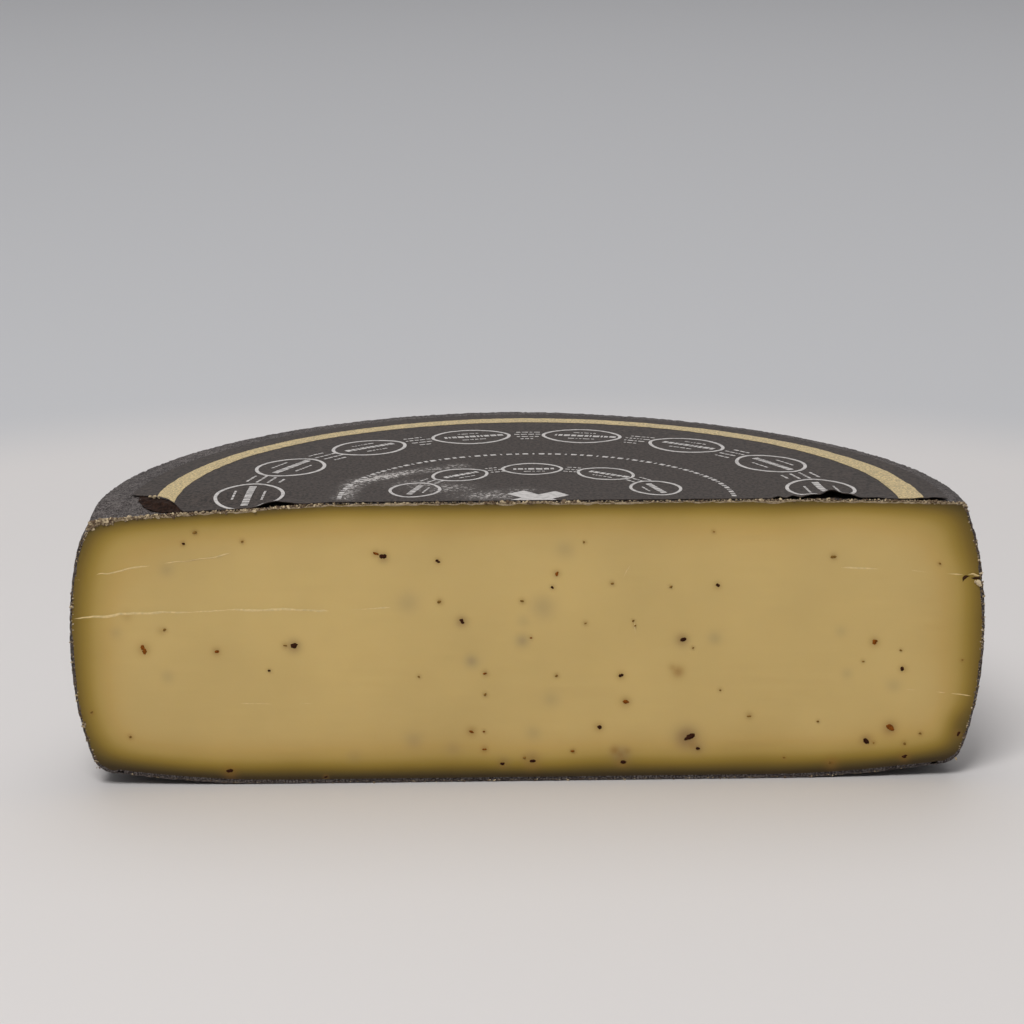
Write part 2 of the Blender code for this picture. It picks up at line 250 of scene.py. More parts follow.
# Low broad ridges of the cut face itself: points as x, height
FACE_RIDGES = (
    ((-45.3, 22.3), (-34.5, 23.4), (-21.1, 24.3), (-3.1, 25.6), (13.9, 26.5), (30.0, 27.2)),
    ((43.5, 30.2), (52.9, 29.6), (62.4, 28.9), (78.6, 28.0), (94.9, 26.3), (101.7, 24.9)),
)
FACE_RIDGE_HEIGHT = 0.05
FACE_RIDGE_HALF_WIDTH = 0.9
FACE_RIDGE_TAPER = 8.0
RIDGE_TAPER_POINTS = 5.0

# Chunks that hang at the crack and the tear: x, depth behind the cut, height, size
CHUNKS = (
    (120.2, -0.25, 54.6, 0.8), (120.7, -0.2, 53.9, 0.5), (119.4, -0.15, 54.9, 0.45),
    (120.9, -0.1, 57.2, 0.4), (-101.0, 12.4, 77.2, 0.5), (-99.8, 11.4, 77.3, 0.6),
    (-98.6, 10.4, 77.4, 0.4),
)

# Hairline smears in the print from handling: points of an arc on the sheet, from its middle; then
# worn patches: x, y, half width, half depth and strength
SCUFF_ARC = (
    (-51.3, 2.5), (-50.6, 8.2), (-49.2, 16.1), (-47.1, 21.3), (-43.9, 24.1), (-39.8, 27.3),
    (-34.9, 31.0), (-28.0, 34.3), (-20.2, 38.6),
)
SCUFF_PATCH = (
    (-31.0, 17.5, 8.0, 5.0, 0.42), (-23.5, 12.5, 8.0, 5.0, 0.5), (-12.5, 4.0, 9.0, 5.5, 0.55),
    (-4.0, 9.0, 6.0, 4.0, 0.3),
)


def linear(code):
    """Turns an sRGB hex colour into linear red, green and blue."""
    parts = [int(code[start:start + 2], 16) / 255.0 for start in (1, 3, 5)]
    return tuple(p / 12.92 if p <= 0.04045 else ((p + 0.055) / 1.055) ** 2.4 for p in parts)


def colour_property(name, description, code):
    """A colour that a user may change, with its default as an sRGB hex value."""
    return FloatVectorProperty(
        name=name, description=description, subtype="COLOR", size=3, min=0.0, max=1.0,
        default=linear(code),
    )


def length_property(name, description, default):
    """A length in metres that a user may change, with its default in millimetres."""
    return FloatProperty(
        name=name, description=description, subtype="DISTANCE", unit="LENGTH", min=0.0,
        default=default * MM, precision=5,
    )


class CheeseBodySettings(PropertyGroup):
    """Sizes and colours of the paste and the rind."""

    paste_colour: colour_property("Paste", "Colour of the cut paste in its middle", "#D0B372")
    rind_colour: colour_property("Rind", "Colour of the dark coating on the rind", "#241C1A")
    rind_worn_colour: colour_property("Worn rind", "Colour of the coating on its knobs", "#655E5B")
    burr_colour: colour_property("Knife burr", "Colour of the ridges the knife left", "#DDC38A")
    crumb_colour: colour_property("Crumb", "Colour of the palest crumbs along the cut", "#D0BC98")
    crumb_dark_colour: colour_property("Dark crumb", "Colour of the crumbs of rind", "#5F4A35")
    # Painted shade: the crack's dark colour stands in for the shadow inside it
    crack_shade_colour: colour_property("Crack", "Colour inside the crack at the rind", "#3A2414")
    black_colour: colour_property("Black truffle", "Colour of the dark flakes", "#34190B")
    brown_colour: colour_property("Brown truffle", "Colour of the middling flakes", "#80602C")
    rust_colour: colour_property("Rust truffle", "Colour of the red-brown flakes", "#7C4410")
    rind_thickness: length_property("Rind thickness", "How thick the coated rind is", 0.7)
    knob_pitch: length_property("Knob pitch", "Spacing of the cloth's imprint on the rind", 1.35)
    knob_height: length_property("Knob height", "Half the depth of the cloth's imprint", 0.16)


class CheeseSheetSettings(PropertyGroup):
    """Sizes and colours of the printed top sheet."""

    paper_colour: colour_property("Paper", "Colour of the dark printed paper", "#372F2A")
    gold_colour: colour_property("Gold", "Colour of the printed gold ring", "#BBA46F")
    white_colour: colour_property("White", "Colour of the white print", "#BFBAB6")
    # Partly painted shade: the torn tip's near-black colour also stands for the shade under the
    # lifted tip
    torn_back_and_shade_colour: colour_property("Torn paper", "Colour of the folded, torn tip", "#251710")
    paper_thickness: length_property("Paper thickness", "How thick the sheet is", 0.16)
    gold_outer: length_property("Gold ring outside", "Outer radius of the gold ring", 102.4)
    gold_inner: length_property("Gold ring inside", "Inner radius of the gold ring", 96.1)
    motif_count: IntProperty(
        name="Motifs", description="How many ovals stand in the outer ring of a whole sheet",
        default=15, min=3, max=40,
    )


class CheeseStageSettings(PropertyGroup):
    """The floor, the lamps and the camera."""

    floor_colour: colour_property("Floor", "Colour of the floor round the cheese", "#D4D0CE")
    far_colour: colour_property("Far floor", "Colour of the floor further back", "#C3C3C5")
    lens: FloatProperty(
        name="Lens", description="Focal length of the camera on a 36 mm sensor, in millimetres",
        default=105.5, min=20.0, max=300.0,
    )
    over_power: FloatProperty(
        name="Overhead light", description="Power of the wide lamp high over the floor behind",
        subtype="POWER", unit="POWER", default=40.0, min=0.0,
    )
    front_power: FloatProperty(
        name="Front light", description="Power of the soft lamp in front and above",
        subtype="POWER", unit="POWER", default=33.0, min=0.0,
    )
    sky_strength: FloatProperty(
        name="Room light", description="Strength of the even light from all round",
        default=0.15, min=0.0,
    )
    wall_strength: FloatProperty(
        name="Wall light", description="Strength of the light from the pale wall behind",
        default=0.62, min=0.0,
    )


def smooth_ramp(value):
    """0 below 0, 1 above 1, and an S between them."""
    t = np.clip(value, 0.0, 1.0)
    return t * t * (3.0 - 2.0 * t)


def spread(*parts):
    """Numbers and arrays as one array with a last axis, each stretched to the shape of all."""
    return np.stack(np.broadcast_arrays(*parts), axis=-1)


def lattice_noise(points, pitch, seed):
    """Smooth noise from -1 to 1: seeded values on a cubic lattice, blended by an S on each axis."""
    side = 32
    table = np.random.default_rng(seed).random((side, side, side)) * 2.0 - 1.0
    cell = points / pitch
    base = np.floor(cell).astype(int)
    t = smooth_ramp(cell - base)
    total = np.zeros(points.shape[:-1])
    for corner in np.ndindex(2, 2, 2):
        weight = np.prod(np.where(corner, t, 1.0 - t), axis=-1)
        total += weight * table[tuple(np.moveaxis((base + corner) % side, -1, 0))]
    return total


def flank_radius(height):
    """The wheel's radius at a height: its belly less a fall that steepens to both rims."""
    off_belly = np.abs(height - BELLY_SHARE * WHEEL_HEIGHT) / (FLANK_REACH_SHARE * WHEEL_HEIGHT)
    return WHEEL_RADIUS - FLANK_FALL * off_belly ** FLANK_POWER


def underside_height(radius):
    """Zero on the foot, then a lift that grows with the square of the way to the rim."""
    way_out = np.clip(radius - FOOT_RADIUS, 0.0, None) / (WHEEL_RADIUS - FOOT_RADIUS)
    return UNDERSIDE_LIFT * way_out ** 2


def rounded(start, corner, end, count=40):
    """A quadratic curve drawn towards corner: (1-t)^2 start + 2t(1-t) corner + t^2 end."""
    t = np.linspace(0.0, 1.0, count)[:, None]
    return (1.0 - t) ** 2 * start + 2.0 * t * (1.0 - t) * corner + t ** 2 * end


def dense_section(count=200):
    """The half section as fine rows of radius and height, from the top's middle to the foot's."""
    top = spread(np.linspace(0.0, TOP_FLAT_RADIUS, count), WHEEL_HEIGHT)
    heights = np.linspace(WHEEL_HEIGHT - TOP_RIM_DEPTH, BASE_RIM_RISE, count)
    flank = spread(flank_radius(heights), heights)
    radii = np.linspace(BASE_RIM_RADIUS, 0.0, count)
    base = spread(radii, underside_height(radii))
    top_corner = spread(flank_radius(WHEEL_HEIGHT - TOP_RIM_PULL * TOP_RIM_DEPTH), WHEEL_HEIGHT)
    base_corner = spread(flank_radius(BASE_RIM_PULL * BASE_RIM_RISE),
                         underside_height(WHEEL_RADIUS - FLANK_FALL))
    top_round = rounded(top[-1], top_corner, flank[0])[1:-1]
    base_round = rounded(flank[-1], base_corner, base[0])[1:-1]
    return np.concatenate((top, top_round, flank, base_round, base))


SECTION = dense_section()
SECTION_WAY = np.concatenate(([0.0], np.cumsum(np.hypot(*np.diff(SECTION, axis=0).T))))
SECTION_LENGTH = float(SECTION_WAY[-1])


def section_at(way):
    """Radius, height and outward normal of the section, at lengths along it from the top's middle.

    The normal is the way between the places a step ahead and behind, turned by a right angle.
    """
    step = 0.4

    def place(at):
        return np.stack([np.interp(at, SECTION_WAY, column) for column in SECTION.T])

    radius, height = place(way)
    along_r, along_z = place(way + step) - place(way - step)
    size = np.hypot(along_r, along_z)
    return radius, height, -along_z / size, along_r / size


def rind_depth(way, thickness):
    """The rind's depth along the section: its thickness times the shares of the top, the flank
    and the base, with straight blends between them."""
    base_start = SECTION_LENGTH - RIND_BASE_START
    places = (RIND_TOP_END, RIND_TOP_END + RIND_TOP_BLEND, base_start - RIND_BASE_BLEND, base_start)
    shares = (RIND_TOP_SHARE, RIND_FLANK_SHARE, RIND_FLANK_SHARE, RIND_BASE_SHARE)
    return thickness * np.interp(way, places, shares)


def top_drop(x, from_axis):
    """How far the settled top hangs below a flat one, without the left corner's own sag."""
    radius = np.hypot(x, from_axis)
    angle = np.arctan2(from_axis, x)
    way_out = np.clip((radius - DROP_START_RADIUS) / (WHEEL_RADIUS - DROP_START_RADIUS), 0.0, None)
    at_rim = (DROP_ALL_ROUND
              + DROP_LEFT * np.clip(-np.cos(angle), 0.0, None) ** DROP_LEFT_POWER
              + DROP_SKEW * np.clip(np.sin(2.0 * angle), 0.0, None))
    return at_rim * way_out ** DROP_POWER


def corner_sag(x, from_axis):
    """The extra sag of the left corner, which fades out to the right and away from the cut."""
    along = smooth_ramp((CORNER_SAG_FROM_X - x) / CORNER_SAG_WIDTH)
    behind_cut = np.clip(from_axis + CUT_IN_FRONT_OF_AXIS, 0.0, None)
    return CORNER_SAG * along * np.exp(-((behind_cut / CORNER_SAG_DEPTH) ** 2))


def settled(x, from_axis, height):
    """The height after the wheel has settled: the top by its full drop, and less and less down
    to a share of the height."""
    share = smooth_ramp((height / WHEEL_HEIGHT - SETTLED_ABOVE) / (1.0 - SETTLED_ABOVE))
    return height - share * (top_drop(x, from_axis) + corner_sag(x, from_axis))


def turned(radius, height, share):
    """Points of the turned wheel: share 0 to 1 goes round from the cut's right end to its left."""
    spare = np.arcsin(np.clip(CUT_IN_FRONT_OF_AXIS / radius, -1.0, 1.0))
    angle = -spare + (math.pi + 2.0 * spare) * share
    from_axis = radius * np.sin(angle)
    x = radius * np.cos(angle)
    return spread(x, from_axis + AXIS_Y, settled(x, from_axis, height))


def settled_at_cut(x, height=WHEEL_HEIGHT):
    """The height that a point of the cut face has after the wheel has settled."""
    return settled(x, -CUT_IN_FRONT_OF_AXIS, height)


def cut_depths(x, z):
    """How deep a point of the cut face lies under the top, the flank and the underside."""
    return settled_at_cut(x) - z, flank_radius(z) - np.abs(x), z - underside_height(np.abs(x))


def knob_relief(points, pitch, height):
    """The cloth's imprint: lattice noise of the pitch, sharpened to knobs, on slower unevenness."""
    knobs = np.tanh(1.8 * lattice_noise(points, pitch * 0.62, 11))
    return height * (0.85 * knobs + 0.15 * lattice_noise(points, pitch * 2.3, 12))


def nick_dent(points):
    """The depth of the bite out of the rind at the right end of the cut: a round dent."""
    away = np.linalg.norm(points - (NICK_X, CUT_Y, NICK_Z), axis=-1)
    return NICK_DEPTH * np.exp(-((away / NICK_SIZE) ** 2))


def curl_height(x, behind_cut):
    """How far the sheet stands up at its curls, each a hump that dies away from the cut."""
    return sum(height * np.exp(-(((x - middle) / half_width) ** 2) - (behind_cut / reach) ** 2)
               for middle, height, half_width, reach in CURLS)


def sheet_front(x):
    """How far behind the cut the sheet begins: nowhere, but left of the tear's start at a depth
    that nears its full one exponentially, with a ragged edge."""
    ragged = 0.3 * lattice_noise(spread(x, 0.0, 0.0), 1.3, 21)
    torn = TEAR_DEPTH * (1.0 - np.exp(-np.clip(TEAR_X - x, 0.0, None) / TEAR_LENGTH))
    return torn + ragged * smooth_ramp(torn) + 0.05


def sheet_height(x, y):
    """The sheet's underside: the settled top, but left of the tear without the corner's sag, with
    its crumpled curls and faint knobs."""
    held = smooth_ramp((x - TEAR_X) / SHEET_LETS_GO + 1.0)
    sag = held * corner_sag(x, y - AXIS_Y)
    z = WHEEL_HEIGHT - top_drop(x, y - AXIS_Y) - sag + SHEET_LIFT
    crumple = lattice_noise(spread(x, y, 0.0), 2.4, 22)
    knobs = lattice_noise(spread(x, y, 0.0), 1.5, 23)
    return z + curl_height(x, y - CUT_Y) * (1.0 + 0.30 * crumple) + 0.035 * knobs


def grid_quads(rows, columns, wrap_rows=False, wrap_columns=False, start=0):
    """Corner indices of a grid's quads, row by row; wrapping joins the last line to the first."""
    row = np.arange(rows if wrap_rows else rows - 1)[:, None]
    column = np.arange(columns if wrap_columns else columns - 1)[None, :]
    here, below = row * columns, (row + 1) % rows * columns
    beside = (column + 1) % columns
    quads = np.stack((here + column, here + beside, below + beside, below + column), axis=-1)
    return quads.reshape(-1, 4) + start


def patch_between(top, base, left, right):
    """A Coons patch: (1-v)T + vB + (1-u)L + uR less the bilinear blend of its four corners."""
    v = np.linspace(0.0, 1.0, len(left))[:, None, None]
    u = np.linspace(0.0, 1.0, len(top))[None, :, None]
    sides = (1.0 - v) * top[None] + v * base[None] + (1.0 - u) * left[:, None] + u * right[:, None]
    upper = (1.0 - u) * top[0] + u * top[-1]
    lower = (1.0 - u) * base[0] + u * base[-1]
    return sides - (1.0 - v) * upper - v * lower


def closed_sheet(upper, lower):
    """Two like grids of points as one closed sheet: both faces and a rim round their edges."""
    rows, columns = upper.shape[:2]
    count = rows * columns
    index = np.arange(count).reshape(rows, columns)
    loop = np.concatenate((index[0, :-1], index[:-1, -1], index[-1, :0:-1], index[:0:-1, 0]))
    following = np.roll(loop, -1)
    rim = spread(loop, following, following + count, loop + count)
    lower_quads = grid_quads(rows, columns, start=count)[:, ::-1]
    points = np.concatenate((upper.reshape(-1, 3), lower.reshape(-1, 3)))
    return points, np.concatenate((grid_quads(rows, columns), lower_quads, rim))


def put_mesh(name, points, quads, material, replaced, caps=(), attributes=None):
    """Makes a closed mesh from millimetre points, quads and larger caps, and dresses it.

    The normals are recalculated so that they point out, and the piece rides on the one body.
    """
    mesh = bpy.data.meshes.new(name)
    mesh.vertices.add(len(points))
    mesh.vertices.foreach_set("co", (np.asarray(points) * MM).astype(np.float32).ravel())
    loops = np.concatenate([np.asarray(quads).ravel(), *caps]).astype(np.int32)
    sizes = np.concatenate((np.full(len(quads), 4), [len(cap) for cap in caps])).astype(int)
    starts = np.concatenate(([0], np.cumsum(sizes)[:-1])).astype(np.int32)
    mesh.loops.add(len(loops))
    mesh.loops.foreach_set("vertex_index", loops)
    mesh.polygons.add(len(sizes))
    mesh.polygons.foreach_set("loop_start", starts)
    mesh.update(calc_edges=True)
    for label, values in (attributes or {}).items():
        layer = mesh.attributes.new(label, "FLOAT", "POINT")
        layer.data.foreach_set("value", np.asarray(values, np.float32).ravel())
    return dress(name, mesh, material, replaced)


def dress(name, mesh, material, replaced):
    """Turns a mesh's faces outwards, gives it its material and sets it on the body."""
    form = bmesh.new()
    form.from_mesh(mesh)
    bmesh.ops.recalc_face_normals(form, faces=form.faces[:])
    form.to_mesh(mesh)
    form.free()
    mesh.materials.append(material)
    mesh.shade_smooth()
    mesh.set_sharp_from_angle(angle=math.radians(50.0))
    piece = bpy.data.objects.new(name, mesh)
    bpy.context.scene.collection.objects.link(piece)
    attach(piece, BODY)
    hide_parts(replaced)
    return piece


def pebble(rings, columns):
    """A unit ball as rings of points from 15 to 165 degrees, with both ends left to caps."""
    polar = np.linspace(math.radians(15.0), math.radians(165.0), rings)[:, None]
    angle = np.arange(columns) * 2.0 * math.pi / columns
    points = spread(np.sin(polar) * np.cos(angle), np.sin(polar) * np.sin(angle), np.cos(polar))
    return points.reshape(-1, 3), grid_quads(rings, columns, wrap_columns=True)


def random_turns(count, rng, wildness):
    """Random rotation matrices from unit quaternions: the wilder, the further from no turn."""
    q = rng.normal(size=(count, 4)) * wildness + (1.0, 0.0, 0.0, 0.0)
    w, x, y, z = (q / np.linalg.norm(q, axis=1, keepdims=True)).T
    return spread(
        1 - 2 * (y * y + z * z), 2 * (x * y - z * w), 2 * (x * z + y * w),
        2 * (x * y + z * w), 1 - 2 * (x * x + z * z), 2 * (y * z - x * w),
        2 * (x * z - y * w), 2 * (y * z + x * w), 1 - 2 * (x * x + y * y),
    ).reshape(-1, 3, 3)


def lumps(centres, radii, turns, rings, columns, roughness, rng):
    """Many uneven pebbles in one mesh: each ball's points are pushed in or out, stretched by
    its three radii, turned and moved to its centre."""
    points, quads = pebble(rings, columns)
    count = len(centres)
    push = 1.0 + roughness * (rng.random((count, len(points), 1)) * 2.0 - 1.0)
    shaped = points[None] * push * radii[:, None, :]
    placed = np.einsum("nij,npj->npi", turns, shaped) + centres[:, None, :]
    starts = np.arange(count) * len(points)
    end_rings = np.arange(columns) + np.array((0, (rings - 1) * columns))[:, None]
    caps = [ring + start for start in starts for ring in end_rings]
    return placed.reshape(-1, 3), (quads + starts[:, None, None]).reshape(-1, 4), caps


def resampled(points, spacing):
    """Points at even spacing along a path, smoothed by a bell a fifth of its own spacing wide."""
    way = np.concatenate(([0.0], np.cumsum(np.linalg.norm(np.diff(points, axis=0), axis=1))))
    count = max(3, int(way[-1] / spacing))
    even = np.linspace(0.0, way[-1], count)
    line = spread(*(np.interp(even, way, column) for column in points.T))
    window = max(1, count // (5 * len(points)))
    kernel = np.hanning(2 * window + 3)[1:-1]
    kernel /= kernel.sum()
    padded = np.concatenate((
        2.0 * line[0] - line[window:0:-1], line, 2.0 * line[-1] - line[-2:-window - 2:-1],
    ))
    return spread(*(np.convolve(column, kernel, "valid") for column in padded.T))


def across_path(along):
    """Unit vectors across a path's directions in its plane, to the left of the way along it."""
    along = along / np.linalg.norm(along, axis=1, keepdims=True)
    return spread(-along[:, 1], along[:, 0])


def ridge(path, half_width, height, seed):
    """A burr along a path in the cut face: a three-cornered profile, thinner at both ends, whose
    width and height waver along it. Its base lies just inside the paste."""
    count = len(path)
    across = across_path(np.gradient(path, axis=0))
    on_path = spread(path[:, 0], path[:, 1], 0.0)
    waver = lattice_noise(on_path, 3.1, seed)
    flutter = lattice_noise(on_path, 0.9, seed + 1)
    from_end = np.minimum(np.arange(count), np.arange(count)[::-1])
    fade = (0.12 + 0.88 * smooth_ramp(from_end / RIDGE_TAPER_POINTS)) * (0.75 + 0.45 * waver)
    middle = path + across * (0.25 * flutter * half_width)[:, None]
    rows = []
    for side, rise in ((-1.0, -0.3), (0.15, 1.0), (1.0, -0.3)):
        x, z = (middle + across * (side * half_width * fade)[:, None]).T
        rows.append(spread(x, CUT_Y - height * rise * fade, z))
    ends = [np.arange(3) * count, np.arange(3) * count + count - 1]
    return np.concatenate(rows), grid_quads(3, count, wrap_rows=True), ends


def joined(parts):
    """Several (points, quads, caps) as one, with their indices moved along."""
    points, quads, caps = [], [], []
    start = 0
    for part_points, part_quads, part_caps in parts:
        points.append(part_points)
        quads.append(part_quads + start)
        caps.extend(cap + start for cap in part_caps)
        start += len(part_points)
    return np.concatenate(points), np.concatenate(quads), caps


def add_node(tree, kind, inputs=None, **settings):
    """Adds a node, sets its properties, and gives each input its value or its link."""
    node = tree.nodes.new(kind)
    for name, value in settings.items():
        setattr(node, name, value)
    for name, source in (inputs or {}).items():
        if isinstance(source, bpy.types.NodeSocket):
            tree.links.new(source, node.inputs[name])
        else:
            node.inputs[name].default_value = source
    return node


def start_material(name, **sockets):
    """A material with a set Principled shader, and its tree, shader and object coordinates."""
    material = bpy.data.materials.new(name)
    material.use_nodes = True
    tree = material.node_tree
    shader = tree.nodes["Principled BSDF"]
    for socket, value in sockets.items():
        shader.inputs[socket.replace("_", " ")].default_value = value
    place = add_node(tree, "ShaderNodeTexCoord").outputs["Object"]
    return material, tree, shader, place


def attribute(tree, name):
    """The value that the mesh carries under a name."""
    return add_node(tree, "ShaderNodeAttribute", attribute_name=name).outputs["Fac"]


def noise(tree, place, size, detail=4.0, roughness=0.5):
    """Noise from 0 to 1 with features of a size in millimetres."""
    return add_node(tree, "ShaderNodeTexNoise", {
        "Vector": place, "Scale": 1.0 / (size * MM), "Detail": detail, "Roughness": roughness,
    }).outputs["Fac"]


def stretched(tree, place, shares):
    """Coordinates for a texture that is drawn out along the axes with small shares."""
    return add_node(tree, "ShaderNodeMapping", {"Vector": place, "Scale": shares}).outputs["Vector"]


def computed(tree, operation, *inputs):
    """What a math operation gives for values and links."""
    node = add_node(tree, "ShaderNodeMath", dict(enumerate(inputs)), operation=operation)
    return node.outputs["Value"]


def ranged(tree, value, low, high, to_low=0.0, to_high=1.0, **settings):
    """A value from low to high as one from to_low to to_high, and held there beyond."""
    return add_node(tree, "ShaderNodeMapRange", {
        "Value": value, "From Min": low, "From Max": high, "To Min": to_low, "To Max": to_high,
    }, **settings).outputs["Result"]


def mix(tree, factor, under, over, blend="MIX"):
    """One colour laid over another by a factor."""
    return add_node(tree, "ShaderNodeMix", {"Factor": factor, "A": under, "B": over},
                    data_type="RGBA", blend_type=blend).outputs["Result"]


def varied(tree, colour, value, low, high, darkest, palest):
    """A colour multiplied by darkest to palest as a texture's value goes from low to high."""
    return mix(tree, 1.0, colour, ranged(tree, value, low, high, darkest, palest), "MULTIPLY")


def bump(tree, height, strength, distance, over=None):
    """A bump from a texture's height, over another bump where one is given."""
    inputs = {"Height": height, "Strength": strength, "Distance": distance}
    if over is not None:
        inputs["Normal"] = over
    return add_node(tree, "ShaderNodeBump", inputs).outputs["Normal"]


def finish(tree, shader, colour, normal=None):
    """Links the shader's colour, and its normal where there is a bump."""
    tree.links.new(colour, shader.inputs["Base Color"])
    if normal is not None:
        tree.links.new(normal, shader.inputs["Normal"])


def opaque(colour):
    """A colour with full alpha."""
    return (*colour, 1.0)


def set_ramp(node, stops):
    """Fills a colour ramp with (place, colour) stops."""
    ramp = node.color_ramp
    while len(ramp.elements) > 1:
        ramp.elements.remove(ramp.elements[-1])
    for number, (place, colour) in enumerate(stops):
        element = ramp.elements[0] if number == 0 else ramp.elements.new(place)
        element.position = place
        element.color = opaque(colour)


def scaled(colour, shares):
    """A colour with each of its parts multiplied."""
    return tuple(part * share for part, share in zip(colour, shares))


def paste_material(settings):
    """Pressed semi-hard cheese, cut with a knife: smooth and damp, faintly translucent, darker and
    more olive as it dries towards the rind, near black along its base and darker in its corners
    where shade is painted in, and with grey stains round the truffle."""
    material, tree, shader, place = start_material(
        "cut_cheese_paste", Roughness=0.42, IOR=1.45, Specular_IOR_Level=0.35,
        Subsurface_Weight=0.12, Subsurface_Scale=0.001, Subsurface_Radius=(3.2, 2.0, 0.8),
    )
    middle = tuple(settings.paste_colour)
    # The ramp darkens the paste for drying, and also for painted shade along its base and in its
    # corners
    ramp = add_node(tree, "ShaderNodeValToRGB", {"Fac": attribute(tree, "dryness_and_shade")})
    set_ramp(ramp, [(dryness_and_shade, scaled(middle, shares)) for dryness_and_shade, shares in DRYING_AND_SHADE_TONES])
    cloud = noise(tree, place, 34.0, 3.0)
    colour = varied(tree, ramp.outputs["Color"], cloud, 0.3, 0.7, 0.94, 1.05)
    for name, shares in (("stain", STAIN_TONE), ("smear", SMEAR_TONE)):
        colour = mix(tree, attribute(tree, name), colour, opaque(scaled(middle, shares)))
    drag = noise(tree, stretched(tree, place, (0.06, 1.0, 1.0)), 1.6)
    dragged = bump(tree, drag, 0.25, 0.00012)
    grain = noise(tree, place, 0.8, 3.0)
    finish(tree, shader, colour, bump(tree, grain, 0.2, 0.00006, dragged))
    return material


def rind_material(settings):
    """A brushed-on cheese coating over a cloth-pressed rind: dark and matt, rubbed paler on its
    knobs, with dust-fine pale specks."""
    material, tree, shader, place = start_material(
        "brushed_rind_coating", Roughness=0.65, IOR=1.47, Specular_IOR_Level=0.25,
    )
    rubbed = noise(tree, place, 0.45, 2.0)
    specks = computed(tree, "MULTIPLY_ADD", attribute(tree, "knob"), 0.2, rubbed)
    colour = mix(tree, ranged(tree, specks, 0.5, 0.74), opaque(settings.rind_colour),
                 opaque(settings.rind_worn_colour))
    colour = varied(tree, colour, noise(tree, place, 26.0, 2.0), 0.3, 0.7, 0.82, 1.15)
    finish(tree, shader, colour, bump(tree, rubbed, 0.8, 0.0003))
    return material


def paper_material(settings):
    """Uncoated label paper under a full flat of dark ink: matt, with a faint tooth, greyed where
    handling has scuffed the ink."""
    material, tree, shader, place = start_material(
        "dark_printed_paper", Roughness=0.7, IOR=1.5, Specular_IOR_Level=0.25,
    )
    scuff = attribute(tree, "scuff")
    scratch = noise(tree, stretched(tree, place, (0.5, 0.5, 1.0)), 0.5, 3.0, 0.7)
    reached = computed(tree, "ADD", scratch, computed(tree, "MULTIPLY_ADD", scuff, 0.15, -0.59))
    worn = computed(tree, "MULTIPLY", ranged(tree, scuff, 0.02, 0.6, 0.0, 0.8),
                    ranged(tree, reached, 0.0, 0.06, 0.08, 1.0))
    cloud = noise(tree, place, 0.9, 5.0, 0.7)
    colour = varied(tree, opaque(settings.paper_colour), cloud, 0.4, 0.6, 0.4, 1.6)
    colour = mix(tree, worn, colour, opaque(linear(SCUFFED_INK)))
    finish(tree, shader, colour, bump(tree, scratch, 0.4, 0.00008))
    return material


def gold_material(settings):
    """Gold printing ink on paper: metal flakes in a varnish, so a broad, grainy sheen."""
    material, tree, shader, place = start_material(
        "gold_printing_ink", Roughness=0.42, Metallic=0.3,
    )
    grain = noise(tree, place, 0.6, 4.0, 0.7)
    colour = varied(tree, opaque(settings.gold_colour), grain, 0.38, 0.62, 0.5, 1.5)
    finish(tree, shader, colour, bump(tree, grain, 0.5, 0.0001))
    return material


def ink_material(settings):
    """White printing ink on dark paper: a thin film that the dark shows through in places."""
    material, tree, shader, place = start_material("white_printing_ink", Roughness=0.55)
    thin = noise(tree, place, 1.3)
    finish(tree, shader, varied(tree, opaque(settings.white_colour), thin, 0.35, 0.55, 0.7, 1.0))
    return material


def crumb_material(settings):
    """Dried cheese and scraps of rind coating: each crumb its own tone from dark brown to pale
    beige, all dry and matt."""
    material, tree, shader, place = start_material("dry_cheese_crumb", Roughness=0.75)
    patchy = computed(tree, "MULTIPLY", attribute(tree, "tone"), noise(tree, place, 0.7))
    finish(tree, shader, mix(tree, ranged(tree, patchy, 0.05, 0.5),
                             opaque(settings.crumb_dark_colour), opaque(settings.crumb_colour)))
    return material


def grainy_material(name, colour, low, high, size, roughness, specular=0.3):
    """Truffle flesh, torn paper or dragged paste: a small solid with one colour that varies in
    grains, and a bump of the same grain."""
    material, tree, shader, place = start_material(name, Roughness=roughness,
                                                   Specular_IOR_Level=specular)
    grain = noise(tree, place, size)
    finish(tree, shader, varied(tree, opaque(colour), grain, 0.3, 0.7, low, high),
           bump(tree, grain, 0.5, 0.0001))
    return material


def spots(x, z, table):
    """The strongest of a table's round spots at each point: depth times a bell of its size."""
    total = np.zeros(x.shape)
    for spot_x, spot_z, size, depth in table:
        away = ((x - spot_x) ** 2 + (z - spot_z) ** 2) / size ** 2
        total = np.maximum(total, depth * np.exp(-away))
    return total


